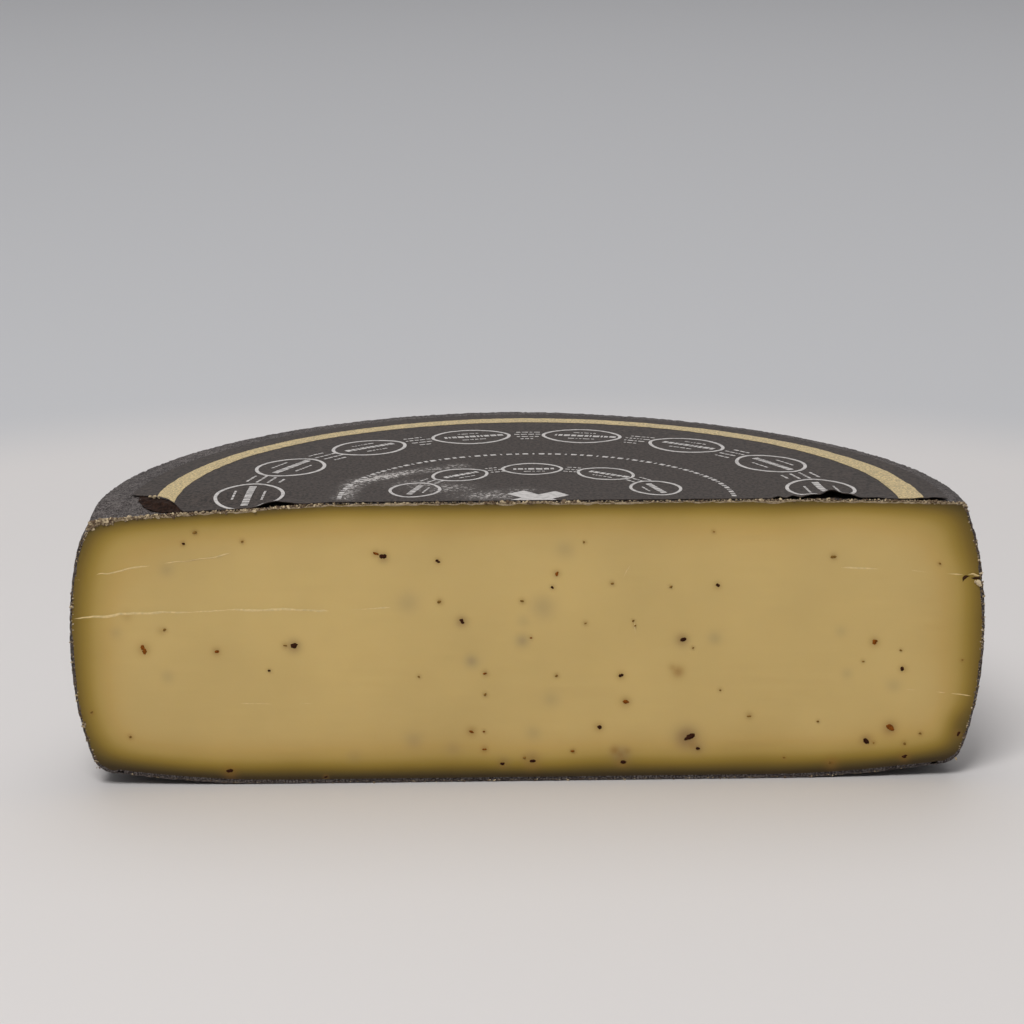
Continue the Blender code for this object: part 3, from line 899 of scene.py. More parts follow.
class CHEESE_OT_paste(Operator):
    """Makes the paste: the turned body inside the rind, and the cut face as a patch between the
    four sides of its outline"""

    bl_idname = "cheese.paste"
    bl_label = "Make Paste"

    side_points = 190
    flank_points = 118
    turn_count = 28
    first_x = 0.6
    top_corner = 115.5
    base_corner = 117.0
    ripple = 0.10
    streak = 0.05
    smooth_edge_rows = 6.0

    def section_ways(self):
        """Lengths along the section: even in x over the top and the base, sqrt(x^2 + 3^2) from the
        axis because the cut passes in front of it, and even down the flank."""
        top = np.hypot(np.linspace(self.first_x, self.top_corner, self.side_points),
                       CUT_IN_FRONT_OF_AXIS)
        base = SECTION_LENGTH - np.hypot(
            np.linspace(self.base_corner, self.first_x, self.side_points), CUT_IN_FRONT_OF_AXIS)
        flank = np.linspace(top[-1], base[0], self.flank_points + 2)[1:-1]
        return np.concatenate((top, flank, base))

    def body(self, thickness):
        """Rows down the section and columns round the wheel, pulled in by the rind."""
        way = self.section_ways()
        radius, height, out_r, out_z = section_at(way)
        inset = rind_depth(way, thickness)
        return turned((radius - inset * out_r)[:, None], (height - inset * out_z)[:, None],
                      np.linspace(0.0, 1.0, self.turn_count))

    def outline_sides(self, right, left):
        """The outline's top, base, left and right sides, from the two ends of the body's rows."""
        turn = self.side_points
        back = self.side_points + self.flank_points
        top = np.concatenate((left[:turn][::-1], right[:turn]))
        base = np.concatenate((left[back:], right[back:][::-1]))
        return top, base, left[turn - 1:back + 1], right[turn - 1:back + 1]

    def uneven(self, face):
        """The cut face moved in and out by slow ripples, fine streaks along the cut and low
        ridges, which all fade to nothing at its edges."""
        rows, columns = (np.arange(size) for size in face.shape[:2])
        from_edge = np.minimum(np.minimum(rows, rows[::-1])[:, None],
                               np.minimum(columns, columns[::-1])[None, :])
        x, _, z = np.moveaxis(face, -1, 0)
        inwards = (self.ripple * lattice_noise(face, 9.0, 31)
                   + self.streak * lattice_noise(face * (0.25, 1.0, 1.0), 1.8, 32))
        for path in FACE_RIDGES:
            ridge_x, ridge_z = np.array(path).T
            off_ridge = (z - np.interp(x, ridge_x, ridge_z)) / FACE_RIDGE_HALF_WIDTH
            from_ends = np.minimum(x - ridge_x[0], ridge_x[-1] - x)
            inwards -= (FACE_RIDGE_HEIGHT * np.exp(-off_ridge ** 2)
                        * smooth_ramp(from_ends / FACE_RIDGE_TAPER))
        return spread(x, CUT_Y + inwards * smooth_ramp(from_edge / self.smooth_edge_rows), z)

    def execute(self, context):
        settings = context.scene.cheese_body
        body = self.body(settings.rind_thickness / MM)
        rows, columns = body.shape[:2]
        index = np.arange(rows * columns).reshape(rows, columns)
        face = self.uneven(patch_between(*self.outline_sides(body[:, 0], body[:, -1])))
        top, base, left, right = self.outline_sides(index[:, 0], index[:, -1])
        inner = face[1:-1, 1:-1]
        face_index = np.empty(face.shape[:2], int)
        face_index[1:-1, 1:-1] = index.size + np.arange(inner.size // 3).reshape(inner.shape[:2])
        face_index[0], face_index[-1] = top, base
        face_index[:, 0], face_index[:, -1] = left, right
        face_quads = face_index.ravel()[grid_quads(*face.shape[:2])]
        points = np.concatenate((body.reshape(-1, 3), inner.reshape(-1, 3)))
        x, y, z = points.T
        on_face = y < CUT_Y + 0.5
        put_mesh("cheese_paste", points, np.concatenate((grid_quads(rows, columns), face_quads)),
                 paste_material(settings), "cheese_half", (index[0], index[-1]), {
                     # Drying, with painted shade along the base and in the corners
                     "dryness_and_shade": np.where(on_face, self.dryness_and_shade(x, z), 0.6),
                     "stain": np.where(on_face, 0.75 * spots(x, z, STAINS), 0.0),
                     "smear": np.where(on_face, spots(x, z, (*SMEARS, *self.halos())), 0.0),
                 })
        return {"FINISHED"}

    @staticmethod
    def halos():
        """Soft brown spots round the flakes, each 0.9 of its flake's length in size."""
        return [(x, z, 0.9 * length, 0.45 if tone == "black" else 0.5)
                for tone, flakes in FLAKES.items() for x, z, length, width, tilt in flakes]

    @staticmethod
    def dryness_and_shade(x, z):
        """How dark the paste is from drying, with painted shade along its base and in its corners:
        each side of the outline darkens it by an amount that falls away by a power of e, and what
        one side leaves undarkened the next one darkens."""
        uneven = 1.0 + 0.18 * lattice_noise(spread(x, 0.0, z), 21.0, 33)
        undarkened = 1.0 - spots(x, z, DRY_AND_SHADED_PLACES)
        for depth, (start, most, reach, power) in zip(cut_depths(x, z), DRYING_AND_SHADE):
            way_in = np.clip(depth - start, 0.0, None) / (reach * uneven)
            undarkened = undarkened * (1.0 - most * np.exp(-(way_in ** power)))
        return 1.0 - undarkened


class CHEESE_OT_rind(Operator):
    """Makes the rind: a shell round the flank, and plates over the top and under the base"""

    bl_idname = "cheese.rind"
    bl_label = "Make Rind"

    top_start_radius = 103.0
    base_end_radius = 109.5
    row_spacing = 0.66
    turn_count = 610
    crowding = 0.25
    end_tone = 0.6
    tuck_depth = 0.3
    tuck_width = 2.5
    base_sunk = 0.17
    # Where the shell's smooth inner rows lie, as shares of the way from its last row to its first:
    # closer together round both rims
    inner_shares = (0.0, 0.04, 0.08, 0.11, 0.14, 0.17, 0.21, 0.3, 0.5, 0.7, 0.8, 0.84, 0.87, 0.91,
                    1.0)

    @staticmethod
    def relief(points, settings):
        """Knob height at points, in millimetres, and the same from 0 to 1 for the colour."""
        height = settings.knob_height / MM
        knobs = knob_relief(points, settings.knob_pitch / MM, height)
        return knobs, np.clip(0.5 + 0.5 * knobs / (height * 1.2), 0.0, 1.0)

    def side(self, settings, material):
        """The flank's shell: outer rows with knobs, then a few smooth inner rows, closed round."""
        first = self.top_start_radius
        last = SECTION_LENGTH - self.base_end_radius
        way = np.linspace(first, last, int((last - first) / self.row_spacing))
        u = np.linspace(0.0, 1.0, self.turn_count)
        share = u - self.crowding * np.sin(2.0 * math.pi * u) / (2.0 * math.pi)
        radius, height, out_r, out_z = (row[:, None] for row in section_at(way))
        smooth = turned(radius, height, share)
        knobs, tone = self.relief(smooth, settings)
        push = knobs - nick_dent(smooth)
        outer = turned(radius + push * out_r, height + push * out_z, share)
        inner_way = last + (first - last) * np.array(self.inner_shares)
        radius, height, out_r, out_z = (row[:, None] for row in section_at(inner_way))
        depth = rind_depth(inner_way, settings.rind_thickness / MM)[:, None]
        inner = turned(radius - depth * out_r, height - depth * out_z, share)
        points = np.concatenate((outer, inner))
        rows, columns = points.shape[:2]
        index = np.arange(rows * columns).reshape(rows, columns)
        tones = np.concatenate((tone, np.zeros(inner.shape[:2])))
        tones[:, (0, -1)] = self.end_tone
        put_mesh("rind_side", points.reshape(-1, 3), grid_quads(rows, columns, wrap_rows=True),
                 material, "cheese_half", (index[:, 0], index[:, -1]), {"knob": tones})

    def plate(self, name, radius, spacing, settings, material, sign):
        """The top or the base inside the flank's shell: a half disc with dents on one face.

        Columns run from the cut straight back to the circle, closer together towards both tips.
        The plate tucks in under the shell near the circle, and no knob stands out of it.
        """
        u = np.linspace(-0.999, 0.999, int(2.0 * radius / spacing))
        x = radius * np.sin(u * math.pi / 2.0)
        back = np.sqrt(radius ** 2 - x ** 2)
        v = np.linspace(0.0, 1.0, int(radius / spacing))[:, None]
        from_axis = -CUT_IN_FRONT_OF_AXIS + v * (back + CUT_IN_FRONT_OF_AXIS)
        way_out = np.hypot(x, from_axis)
        tuck = self.tuck_depth * smooth_ramp((way_out - radius) / self.tuck_width + 1.0)
        if sign > 0.0:
            flat, depth_share, sunk = settled(x, from_axis, WHEEL_HEIGHT), RIND_TOP_SHARE, 0.0
        else:
            flat, depth_share, sunk = underside_height(way_out), RIND_BASE_SHARE, self.base_sunk
        points = spread(x, from_axis + AXIS_Y, flat)
        knobs, tone = self.relief(points, settings)
        up = (0.0, 0.0, sign)
        outer = points + (np.minimum(knobs - sunk, 0.0) - tuck)[..., None] * up
        inner = points - np.multiply(depth_share * settings.rind_thickness / MM, up)
        shell, quads = closed_sheet(outer, inner)
        tones = np.concatenate((tone.ravel(), np.full(tone.size, 0.3)))
        put_mesh(name, shell, quads, material, "cheese_half", attributes={"knob": tones})

    def execute(self, context):
        settings = context.scene.cheese_body
        material = rind_material(settings)
        self.side(settings, material)
        for name, radius, spacing, sign in (("rind_top", 104.5, 2.0, 1.0),
                                            ("rind_base", 111.0, 0.95, -1.0)):
            self.plate(name, radius, spacing, settings, material, sign)
        return {"FINISHED"}


class CHEESE_OT_flakes(Operator):
    """Makes the truffle flakes: uneven flat pebbles, sunk in the cut face nearly flush"""

    bl_idname = "cheese.flakes"
    bl_label = "Make Truffle Flakes"

    # How far a flake's lumps scatter as a share of it, how deep they sit, and their half depth
    scatter = 0.55
    sunk = 0.05
    half_depth = 0.24

    def execute(self, context):
        settings = context.scene.cheese_body
        for seed, (tone, flakes) in enumerate(FLAKES.items()):
            rng = np.random.default_rng(41 + seed)
            flakes = np.array(flakes)
            lump_counts = rng.integers(2, 4, len(flakes))
            x, z, length, width, tilt = np.repeat(flakes, lump_counts, axis=0).T
            tilt = np.radians(tilt)
            shift = (rng.random((len(x), 2)) - 0.5) * self.scatter
            along, across = shift[:, 0] * length, shift[:, 1] * width
            centres = spread(x + along * np.cos(tilt) - across * np.sin(tilt), CUT_Y + self.sunk,
                             z + along * np.sin(tilt) + across * np.cos(tilt))
            size = 0.62 + 0.25 * rng.random(len(x))
            radii = spread(length * size / 2.0, self.half_depth, width * size / 2.0)
            turn = -tilt - 0.5 * (rng.random(len(x)) - 0.5)
            turns = spread(np.cos(turn), 0.0, np.sin(turn), 0.0, 1.0, 0.0,
                           -np.sin(turn), 0.0, np.cos(turn)).reshape(-1, 3, 3)
            points, quads, caps = lumps(centres, radii, turns, 7, 12, 0.22, rng)
            colour = getattr(settings, f"{tone}_colour")
            material = grainy_material(f"truffle_flesh_{tone}", colour, 0.55, 1.6, 0.5, 0.8, 0.1)
            put_mesh(f"truffle_{tone}", points, quads, material, "cheese_half", caps)
        return {"FINISHED"}


class CHEESE_OT_knife_marks(Operator):
    """Makes the thin ridges that the knife left across the cut face"""

    bl_idname = "cheese.knife_marks"
    bl_label = "Make Knife Marks"

    def lay(self, name, lines, spacing, seeds, material):
        """Joins the ridges along a table of lines into one piece."""
        points, quads, caps = joined([
            ridge(resampled(np.array(path), spacing), half_width, height, seed)
            for seed, (path, half_width, height) in zip(seeds, lines)
        ])
        put_mesh(name, points, quads, material, "cheese_half", caps)

    def execute(self, context):
        settings = context.scene.cheese_body
        dragged = grainy_material("dragged_paste", settings.burr_colour, 0.85, 1.1, 1.2, 0.5)
        self.lay("knife_burrs", KNIFE_LINES, 0.35, range(50, 50 + len(KNIFE_LINES)), dragged)
        # Painted shade: the crack is dark ridges coloured as its shadow, not a groove
        dark = grainy_material("painted_crack_shade", settings.crack_shade_colour, 0.6, 1.4, 0.8, 0.8, 0.1)
        self.lay("rind_crack_shade", CRACK_SHADE_LINES, 0.2, [90] * len(CRACK_SHADE_LINES), dark)
        return {"FINISHED"}


class CHEESE_OT_crumbs(Operator):
    """Makes the dry crumbs and torn fibres that cling to the edges of the cut"""

    bl_idname = "cheese.crumbs"
    bl_label = "Make Crumbs"

    # Stretches of the top edge, by length along the section to the left (below 0) or the right:
    # from, to, how many crumbs, their mean size, how deep they hang
    top_stretches = (
        (-118.6, -110.0, 300, 0.26, 1.6),
        (-112.0, -88.0, 380, 0.20, 0.8),
        (-90.0, -55.0, 340, 0.20, 0.6),
        (-56.0, -10.0, 200, 0.16, 0.4),
        (-12.0, 14.0, 170, 0.22, 0.5),
        (14.0, 62.0, 200, 0.16, 0.4),
        (60.0, 108.0, 340, 0.19, 0.45),
        (102.0, 118.5, 200, 0.2, 0.8),
    )
    side_count = 300
    side_size = 0.16
    base_count = 260
    base_size = 0.13
    smallest = 0.06
    largest = 0.7
    chunk_tone = 0.9
    torn_tone = 0.5

    def execute(self, context):
        settings = context.scene.cheese_body
        rng = np.random.default_rng(61)
        crumbs = []

        def strew(x, y, z, size, power):
            """Adds crumbs at places: sizes spread round a mean, tones mostly dark by a power."""
            sizes = size * rng.lognormal(0.0, 0.4, len(x))
            crumbs.append(spread(x, y, z, sizes, rng.random(len(x)) ** power))

        for start, end, count, size, depth in self.top_stretches:
            way = rng.uniform(start, end, count)
            radius, height, out_r, out_z = section_at(np.hypot(way, CUT_IN_FRONT_OF_AXIS))
            hang = depth * rng.random(count) ** 1.4 - 0.1
            radius = radius - hang * out_r
            x = np.sign(way) * np.sqrt(np.clip(radius ** 2 - CUT_IN_FRONT_OF_AXIS ** 2, 0.0, None))
            strew(x, CUT_Y - size * rng.uniform(-0.5, 0.5, count),
                  settled_at_cut(x, height - hang * out_z), size, 1.5)
        for sign in (-1.0, 1.0):
            z = rng.uniform(5.0, WHEEL_HEIGHT - 4.0, self.side_count)
            x = sign * (flank_radius(z) - rng.uniform(0.0, 1.0, self.side_count))
            strew(x, CUT_Y + rng.uniform(-0.08, 0.1, self.side_count), settled_at_cut(x, z),
                  self.side_size, 2.2)
        x = rng.uniform(-108.0, 104.0, self.base_count)
        z = underside_height(np.abs(x)) + rng.uniform(0.1, 0.6, self.base_count)
        strew(x, CUT_Y, z, self.base_size, 2.2)
        x, behind_cut, z, size = np.array(CHUNKS).T
        crumbs.append(spread(x, behind_cut + CUT_Y, z, size, self.chunk_tone))
        x, y, z, size, tone = np.concatenate(crumbs).T
        stretch = rng.uniform((0.8, 0.5, 0.4), (1.7, 1.0, 1.0), (len(x), 3))
        radii = np.clip(size, self.smallest, self.largest)[:, None] * stretch
        turns = random_turns(len(x), rng, 0.4)
        lumpy = lumps(spread(x, y, z), radii, turns, 4, 6, 0.28, rng)
        torn = self.torn_edge(settings.rind_thickness / MM)
        tones = np.concatenate((np.repeat(tone, len(lumpy[0]) // len(x)),
                                np.full(len(torn[0]), self.torn_tone)))
        points, quads, caps = joined((lumpy, torn))
        put_mesh("edge_crumbs", points, quads, crumb_material(settings), "cheese_half",
                 caps, {"tone": tones})
        return {"FINISHED"}

    @staticmethod
    def torn_edge(thickness):
        """The torn upper edge of the paste: a ridge just under the rind, from tip to tip."""
        x = np.arange(-115.5, 114.5, 0.4)
        wander = 0.22 * lattice_noise(spread(x, 0.0, 0.0), 2.2, 64)
        z = settled_at_cut(x) - RIND_TOP_SHARE * thickness - 0.2 + wander
        return ridge(spread(x, z), 0.42, 0.16, 65)


class CHEESE_OT_sheet(Operator):
    """Makes the printed sheet on top: a half disc of paper, torn at its left tip and curled up
    here and there along the cut"""

    bl_idname = "cheese.sheet"
    bl_label = "Make Top Sheet"

    column_count = 400
    row_count = 112
    flap_tip_x = -104.2
    flap_reach = 12.0
    flap_curve = 3.4
    flap_thickness = 0.12
    arc_half_width = 3.0
    arc_brightest_x = -41.0

    def execute(self, context):
        settings = context.scene.cheese_sheet
        u = np.linspace(-0.995, 0.995, self.column_count)
        off_middle = SHEET_RADIUS * (0.55 * np.sin(u * math.pi / 2.0) + 0.45 * u)
        x = SHEET_MIDDLE_X + off_middle
        back = SHEET_BEHIND_CUT + np.sqrt(SHEET_RADIUS ** 2 - off_middle ** 2)
        front = np.minimum(sheet_front(x), back - 0.2)
        v = np.linspace(0.0, 1.0, self.row_count)[:, None] ** 1.5
        y = CUT_Y + front + v * (back - front)
        lower = spread(x, y, sheet_height(x, y))
        points, quads = closed_sheet(lower + (0.0, 0.0, settings.paper_thickness / MM), lower)
        scuff = self.scuffs(x - SHEET_MIDDLE_X, y - SHEET_MIDDLE_Y)
        put_mesh("top_sheet", points, quads, paper_material(settings), "top_label",
                 attributes={"scuff": np.stack((scuff, np.zeros_like(scuff)))})
        self.flap(settings)
        return {"FINISHED"}

    def flap(self, settings):
        """The torn tip, folded down in front: a ruled strip from the tear to the rind at the cut,
        x from the sheet's left tip to the tear's start, crumpled by noise. Its lower end nears
        the cut exponentially along x. Its near-black colour is partly the paper's dark back and
        partly painted shade, the shade of the hollow under the lifted torn tip."""
        x = np.linspace(self.flap_tip_x, TEAR_X - 0.4, 60)
        front = sheet_front(x)
        high = sheet_height(x, CUT_Y + front) - 0.05
        reach = self.flap_reach * np.exp(-(x - self.flap_tip_x) / self.flap_curve)
        near = np.minimum(0.2 + reach, front - 0.1)
        rind = settled(x, near + CUT_Y - AXIS_Y, WHEEL_HEIGHT) + 0.3
        v = np.linspace(0.0, 1.0, 22)[:, None]
        points = spread(x, CUT_Y + front + (near - front) * v, high + (rind - high) * v ** 1.6)
        crumple = 0.7 * lattice_noise(points, 2.2, 81) + 0.35 * lattice_noise(points, 0.9, 82)
        points[..., 2] += crumple * np.sin(math.pi * np.clip(v, 0.02, 0.98)) + 0.15 * crumple
        shell, quads = closed_sheet(points, points - (0.0, 0.0, self.flap_thickness))
        # Its near-black colour is partly the paper's back and partly painted shade of the hollow
        # under the tip
        torn = grainy_material("torn_paper_back_and_shade", settings.torn_back_and_shade_colour, 0.3, 2.0, 0.9, 0.8, 0.1)
        put_mesh("torn_flap", shell, quads, torn, "top_label")

    def scuffs(self, x, y):
        """How scuffed the ink is: a bell across the distance to the arc, and two worn patches."""
        total = np.zeros(y.shape)
        for arc_x, arc_y in resampled(np.array(SCUFF_ARC), 2.0):
            bell = np.exp(-((x - arc_x) ** 2 + (y - arc_y) ** 2) / self.arc_half_width ** 2)
            bright = np.exp(-((arc_x - self.arc_brightest_x) / 8.0) ** 2)
            total = np.maximum(total, bell * (0.42 + 0.58 * bright))
        for patch_x, patch_y, wide, deep, depth in SCUFF_PATCH:
            bell = depth * np.exp(-((x - patch_x) / wide) ** 2 - ((y - patch_y) / deep) ** 2)
            total = np.maximum(total, bell)
        return total


def flat_ribbon(path, half_width, round_trip=False):
    """A flat line of print along a path on the sheet: a grid of two edges, each offset to its
    side of the path, and joined up at its ends on a round trip."""
    if round_trip:
        path = np.concatenate((path, path[:1]))
    along = np.gradient(path, axis=0)
    if round_trip:
        along[[0, -1]] = (path[1] - path[-2]) / 2.0
    across = half_width * across_path(along)
    return np.stack((path - across, path + across))


def film(flat, thickness):
    """The upper and the lower face of a flat grid as a film of a thickness."""
    x, y = np.moveaxis(flat, -1, 0)
    return spread(x, y, thickness), spread(x, y, 0.0)


def print_part(edges, thickness, round_trip=False):
    """A grid of flat points as a closed film of print: its faces, and its rim or its two walls."""
    upper, lower = film(edges, thickness)
    if not round_trip:
        return *closed_sheet(upper, lower), []
    loop = np.stack((upper[0], upper[1], lower[1], lower[0]))[:, :-1]
    return loop.reshape(-1, 3), grid_quads(*loop.shape[:2], wrap_rows=True, wrap_columns=True), []


def ellipse(wide, deep, count=56):
    """Points round an ellipse that is a little pointed at its wide ends."""
    t = np.arange(count) * 2.0 * math.pi / count
    return spread(wide * np.cos(t), deep * np.sin(t) * (0.75 + 0.25 * np.abs(np.sin(t))))


def bar(middle_x, middle_y, half_length, spacing=0.8):
    """A straight path along the motif's wide way."""
    count = max(4, int(2.0 * half_length / spacing))
    return spread(np.linspace(middle_x - half_length, middle_x + half_length, count), middle_y)


def strokes(middle_y, half_length, rng):
    """A bar broken into short strokes of uneven length, with small gaps."""
    ends = [-half_length]
    while ends[-1] < half_length:
        ends.append(ends[-1] + rng.uniform(0.9, 2.4))
    return [bar((start + end) / 2.0, middle_y, (end - start) / 2.0 - 0.22, 0.5)
            for start, end in zip(ends[:-1], ends[1:])]


def stand(path, radius, angle):
    """Puts a motif's path at a radius and an angle on the sheet, its wide way along the ring."""
    out = np.array((math.cos(angle), math.sin(angle)))
    round_way = np.array((-math.sin(angle), math.cos(angle)))
    return out * (radius + path[:, 1:]) + round_way * -path[:, :1]


class CHEESE_OT_print(Operator):
    """Prints the sheet: a gold ring, ovals with plain bars, rings of dashes, and a plain cross"""

    bl_idname = "cheese.print"
    bl_label = "Print Top Sheet"

    film_thickness = 0.05
    ring_radius = 77.0
    dash_radius = 52.5
    inner_radius = 34.0
    gold_inner_off = -0.15
    gold_outer_off = 0.45
    cross_reach = 8.8
    cross_half_width = 2.9
    cross_tilt = 38.0
    # Bars in an outer oval, dashes between two of them, and dashes between two inner ovals: height
    # over the motif's middle, half length and half width
    oval_bars = ((4.2, 3.2, 0.3), (0.2, 8.0, 0.95), (-3.8, 3.6, 0.3))
    outer_dashes = ((5.0, 3.0, 0.34), (2.0, 3.6, 0.34), (-1.0, 3.0, 0.34), (-4.0, 2.0, 0.34))
    inner_bars = ((0.0, 5.4, 0.8), (-2.9, 2.6, 0.25))
    inner_dashes = ((3.0, 1.8, 0.3), (0.6, 1.8, 0.3), (-1.8, 1.8, 0.3))
    dash_half_lengths = (0.8, 0.5, 0.8, 0.25)
    dash_count = 72
    inner_count = 5

    def gold(self, settings):
        """The gold ring: angle by radius, its two edges wavering a little as cut film does."""
        inner, outer = settings.gold_inner / MM, settings.gold_outer / MM
        share = np.linspace(0.0, 1.0, 7)[:, None]
        radius = inner + (outer - inner) * share
        from_right = -np.arcsin((SHEET_BEHIND_CUT - 0.15) / radius)
        left_front = sheet_front(SHEET_MIDDLE_X - radius)
        from_left = np.arcsin((left_front + 0.4 - SHEET_BEHIND_CUT) / radius)
        angle = from_right + (math.pi - from_left - from_right) * np.linspace(0.0, 1.0, 420)
        ring = spread(np.cos(angle) * outer, np.sin(angle) * outer, 0.0)
        waver = 0.3 * lattice_noise(ring, 11.0, 71) + 0.15 * lattice_noise(ring, 2.6, 72)
        inner_waver = 0.25 * lattice_noise(ring, 8.0, 73) + 0.15 * lattice_noise(ring, 2.2, 74)
        radius = radius + waver * share + inner_waver * (1.0 - share)
        off_centre = self.gold_inner_off + (self.gold_outer_off - self.gold_inner_off) * share
        return spread(radius * np.cos(angle) + off_centre, radius * np.sin(angle))

    def cross(self):
        """A plain cross: rings out to the larger reach of its two crossing bars at each angle."""
        t = np.linspace(0.0, 2.0 * math.pi, 145)
        c, s = (np.maximum(np.abs(side), 1e-6) for side in (np.cos(t), np.sin(t)))
        length, half_width = self.cross_reach, self.cross_half_width
        reach = np.maximum(np.minimum(length / c, half_width / s),
                           np.minimum(length / s, half_width / c))
        radius = np.linspace(0.0, 1.0, 9)[1:, None] * reach
        tilted = t + math.radians(self.cross_tilt)
        return spread(radius * np.cos(tilted), radius * np.sin(tilted))

    def motifs(self, settings):
        """Every white line as (grid of flat points, whether it closes on itself)."""
        rng = np.random.default_rng(75)
        lines = []

        def line(path, half_width, radius, angle, closes=False):
            lines.append((flat_ribbon(stand(path, radius, angle), half_width, closes), closes))

        def broken(bars, radius, angle):
            for height, half_length, half_width in bars:
                for stroke in strokes(height, half_length, rng):
                    line(stroke, half_width, radius, angle)

        step = 2.0 * math.pi / settings.motif_count
        for number in range(settings.motif_count // 2 + 1):
            angle = step * (number + 0.25)
            line(ellipse(11.2, 9.0), 0.48, self.ring_radius, angle, True)
            broken(self.oval_bars, self.ring_radius, angle)
            broken(self.outer_dashes, self.ring_radius - 1.0, angle + step / 2.0)
        for number in range(self.dash_count):
            angle = math.pi * (number + 0.5) / self.dash_count
            half_length = self.dash_half_lengths[number % len(self.dash_half_lengths)]
            line(bar(0.0, 0.0, half_length, 0.4), 0.62, self.dash_radius, angle)
        for number in range(self.inner_count):
            angle = math.pi * (number + 0.5) / self.inner_count
            line(ellipse(8.2, 6.6, 40), 0.42, self.inner_radius, angle, True)
            broken(self.inner_bars, self.inner_radius, angle)
        for number in range(1, self.inner_count):
            broken(self.inner_dashes, self.inner_radius, math.pi * number / self.inner_count)
        return lines

    def lay(self, name, parts, settings, material):
        """Cuts flat films off along the sheet's front, then lays them on the sheet."""
        points, quads, caps = joined(parts)
        mesh = bpy.data.meshes.new(name)
        mesh.from_pydata(points.tolist(), [], quads.tolist() + [cap.tolist() for cap in caps])
        form = bmesh.new()
        form.from_mesh(mesh)
        bmesh.ops.recalc_face_normals(form, faces=form.faces[:])
        cut = bmesh.ops.bisect_plane(
            form, geom=form.verts[:] + form.edges[:] + form.faces[:], dist=1e-5,
            plane_co=(0.0, 0.12 - SHEET_BEHIND_CUT, 0.0), plane_no=(0.0, 1.0, 0.0),
            clear_inner=True,
        )
        edges = [item for item in cut["geom_cut"] if isinstance(item, bmesh.types.BMEdge)]
        bmesh.ops.edgenet_fill(form, edges=edges)
        bmesh.ops.triangulate(form, faces=[face for face in form.faces if len(face.verts) > 4])
        form.to_mesh(mesh)
        form.free()
        flat = np.empty(len(mesh.vertices) * 3)
        mesh.vertices.foreach_get("co", flat)
        x, y, z = flat.reshape(-1, 3).T
        x, y = x + SHEET_MIDDLE_X, y + SHEET_MIDDLE_Y
        z = sheet_height(x, y) + settings.paper_thickness / MM + 0.015 + z
        mesh.vertices.foreach_set("co", (spread(x, y, z) * MM).ravel())
        mesh.update()
        dress(name, mesh, material, "top_label")

    def execute(self, context):
        settings = context.scene.cheese_sheet
        gold = print_part(self.gold(settings), self.film_thickness)
        self.lay("gold_ring", [gold], settings, gold_material(settings))
        parts = [print_part(edges, self.film_thickness, closes)
                 for edges, closes in self.motifs(settings)]
        self.lay("white_print", (*parts, self.closed_cross()), settings, ink_material(settings))
        return {"FINISHED"}

    def closed_cross(self):
        """The cross as a closed film: rings that join up, and a cap over its middle."""
        upper, lower = film(self.cross()[:, :-1], self.film_thickness)
        stack = np.concatenate((upper, lower[::-1]))
        rows, columns = stack.shape[:2]
        caps = [np.arange(columns), np.arange(columns) + (rows - 1) * columns]
        return stack.reshape(-1, 3), grid_quads(rows, columns, wrap_columns=True), caps


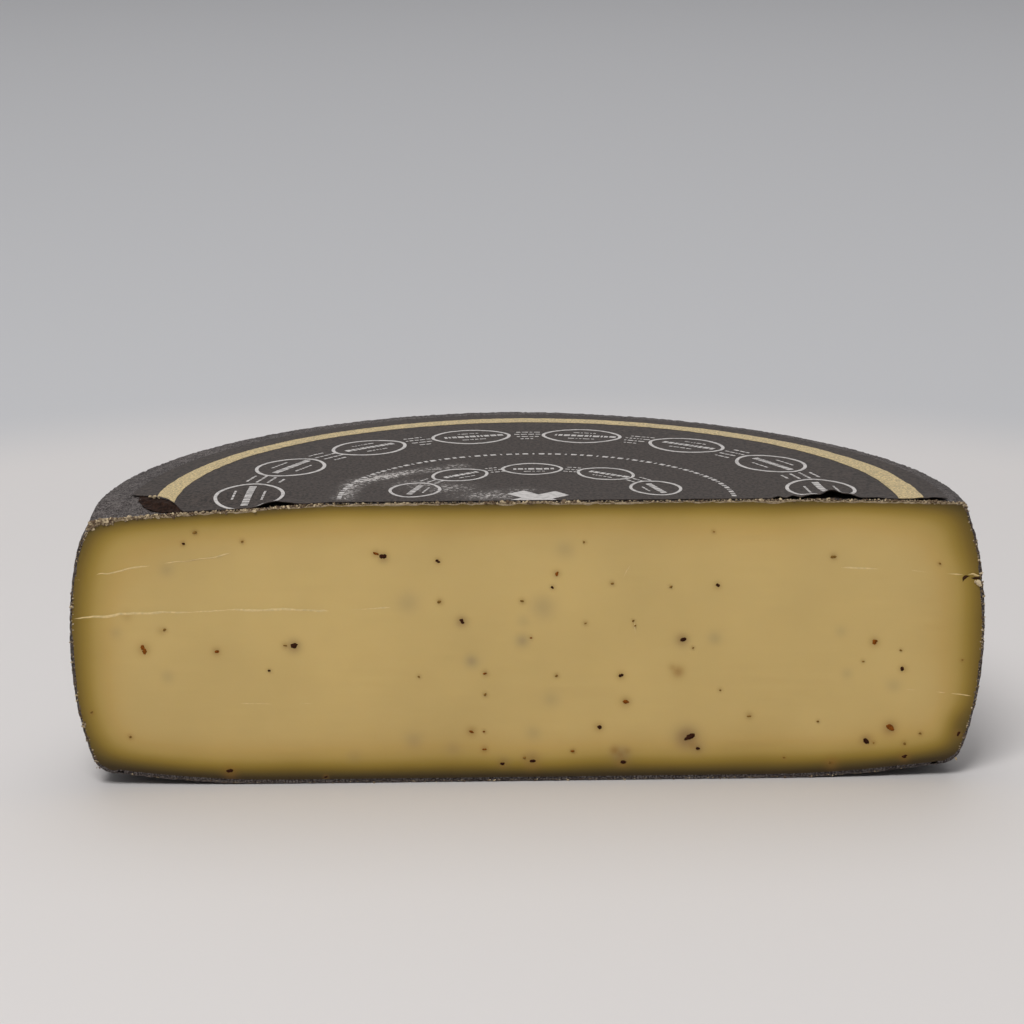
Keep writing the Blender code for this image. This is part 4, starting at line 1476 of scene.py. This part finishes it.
class CHEESE_OT_stage(Operator):
    """Makes the floor, the room light, the lamps and the camera"""

    bl_idname = "cheese.stage"
    bl_label = "Make Stage"

    camera_place = (-30.0, CUT_Y - 770.0, 268.0)
    camera_turn = (90.0 - 14.051, 0.05, -1.9)
    floor_half = 9.0
    # How far from the origin the floor turns from its near colour to its far one, in metres
    far_range = (0.35, 0.47)

    def floor(self, settings):
        """A plain floor, paler round the cheese than further back."""
        half = self.floor_half
        mesh = bpy.data.meshes.new("floor")
        mesh.from_pydata([(-half, -half, 0.0), (half, -half, 0.0), (half, half, 0.0),
                          (-half, half, 0.0)], [], [(0, 1, 2, 3)])
        material, tree, shader, place = start_material("matt_floor", Roughness=0.75,
                                                       Specular_IOR_Level=0.2)
        distance = add_node(tree, "ShaderNodeVectorMath", {0: place}, operation="LENGTH")
        far = ranged(tree, distance.outputs["Value"], *self.far_range,
                     interpolation_type="SMOOTHSTEP")
        finish(tree, shader, mix(tree, far, opaque(settings.floor_colour),
                                 opaque(settings.far_colour)))
        mesh.materials.append(material)
        floor = bpy.data.objects.new("floor", mesh)
        bpy.context.scene.collection.objects.link(floor)

    def lamp(self, name, place, size, target, power):
        """A square soft lamp that looks at a target."""
        data = bpy.data.lights.new(name, "AREA")
        data.shape = "SQUARE"
        data.size = size
        data.energy = power
        lamp = bpy.data.objects.new(name, data)
        lamp.location = place
        aim = Vector(target) - Vector(place)
        lamp.rotation_euler = aim.to_track_quat("-Z", "Y").to_euler()
        bpy.context.scene.collection.objects.link(lamp)

    def camera(self, settings):
        """The photographer's camera: in front of the cut, a little left of it and above."""
        data = bpy.data.cameras.new("camera")
        data.lens = settings.lens
        data.sensor_width = 36.0
        data.clip_end = 50.0
        camera = bpy.data.objects.new("camera", data)
        camera.location = Vector(self.camera_place) * MM
        camera.rotation_euler = Euler([math.radians(turn) for turn in self.camera_turn])
        bpy.context.scene.collection.objects.link(camera)
        bpy.context.scene.camera = camera

    def room(self, scene, settings):
        """The light from all round, stronger from the pale wall behind."""
        world = bpy.data.worlds.new("room")
        world.use_nodes = True
        tree = world.node_tree
        background = tree.nodes["Background"]
        background.inputs["Color"].default_value = opaque(linear("#FCFCFF"))
        way = add_node(tree, "ShaderNodeTexCoord").outputs["Generated"]
        parts = add_node(tree, "ShaderNodeSeparateXYZ", {"Vector": way})
        strength = ranged(tree, parts.outputs["Y"], 0.1, 0.8, settings.sky_strength,
                          settings.wall_strength, interpolation_type="SMOOTHSTEP")
        tree.links.new(strength, background.inputs["Strength"])
        scene.world = world

    def execute(self, context):
        settings = context.scene.cheese_stage
        scene = context.scene
        scene.view_settings.view_transform = "Standard"
        scene.view_settings.look = "None"
        self.room(scene, settings)
        self.floor(settings)
        self.lamp("overhead_lamp", (0.0, 1.6, 3.0), 3.0, (0.0, 1.5, 0.0), settings.over_power)
        self.lamp("front_lamp", (-0.5, -1.25, 1.85), 0.9, (0.0, 0.0, 0.04), settings.front_power)
        self.camera(settings)
        return {"FINISHED"}


class CHEESE_PT_panel(Panel):
    """Lists the pieces of the cheese and their settings"""

    bl_idname = "CHEESE_PT_panel"
    bl_label = "Truffle Cheese"
    bl_space_type = "VIEW_3D"
    bl_region_type = "UI"
    bl_category = "Cheese"

    def draw(self, context):
        layout = self.layout
        for group_name in SETTINGS:
            box = layout.box()
            group = getattr(context.scene, group_name)
            for setting in group.bl_rna.properties:
                if setting.identifier not in {"rna_type", "name"}:
                    box.prop(group, setting.identifier)
        for operator in OPERATORS:
            layout.operator(operator.bl_idname)


SETTINGS = {
    "cheese_body": CheeseBodySettings,
    "cheese_sheet": CheeseSheetSettings,
    "cheese_stage": CheeseStageSettings,
}

OPERATORS = (
    CHEESE_OT_paste,
    CHEESE_OT_rind,
    CHEESE_OT_flakes,
    CHEESE_OT_knife_marks,
    CHEESE_OT_crumbs,
    CHEESE_OT_sheet,
    CHEESE_OT_print,
    CHEESE_OT_stage,
)


def register():
    """Registers the settings, the operators and the panel."""
    for name, group in SETTINGS.items():
        bpy.utils.register_class(group)
        setattr(bpy.types.Scene, name, PointerProperty(type=group))
    for operator in OPERATORS:
        bpy.utils.register_class(operator)
    bpy.utils.register_class(CHEESE_PT_panel)


def unregister():
    """Takes the panel, the operators and the settings away again."""
    bpy.utils.unregister_class(CHEESE_PT_panel)
    for operator in reversed(OPERATORS):
        bpy.utils.unregister_class(operator)
    for name, group in reversed(SETTINGS.items()):
        delattr(bpy.types.Scene, name)
        bpy.utils.unregister_class(group)


def main():
    """Makes every piece and the stage."""
    register()
    for operator in OPERATORS:
        group, name = operator.bl_idname.split(".")
        getattr(getattr(bpy.ops, group), name)()


if __name__ == "__main__":
    main()
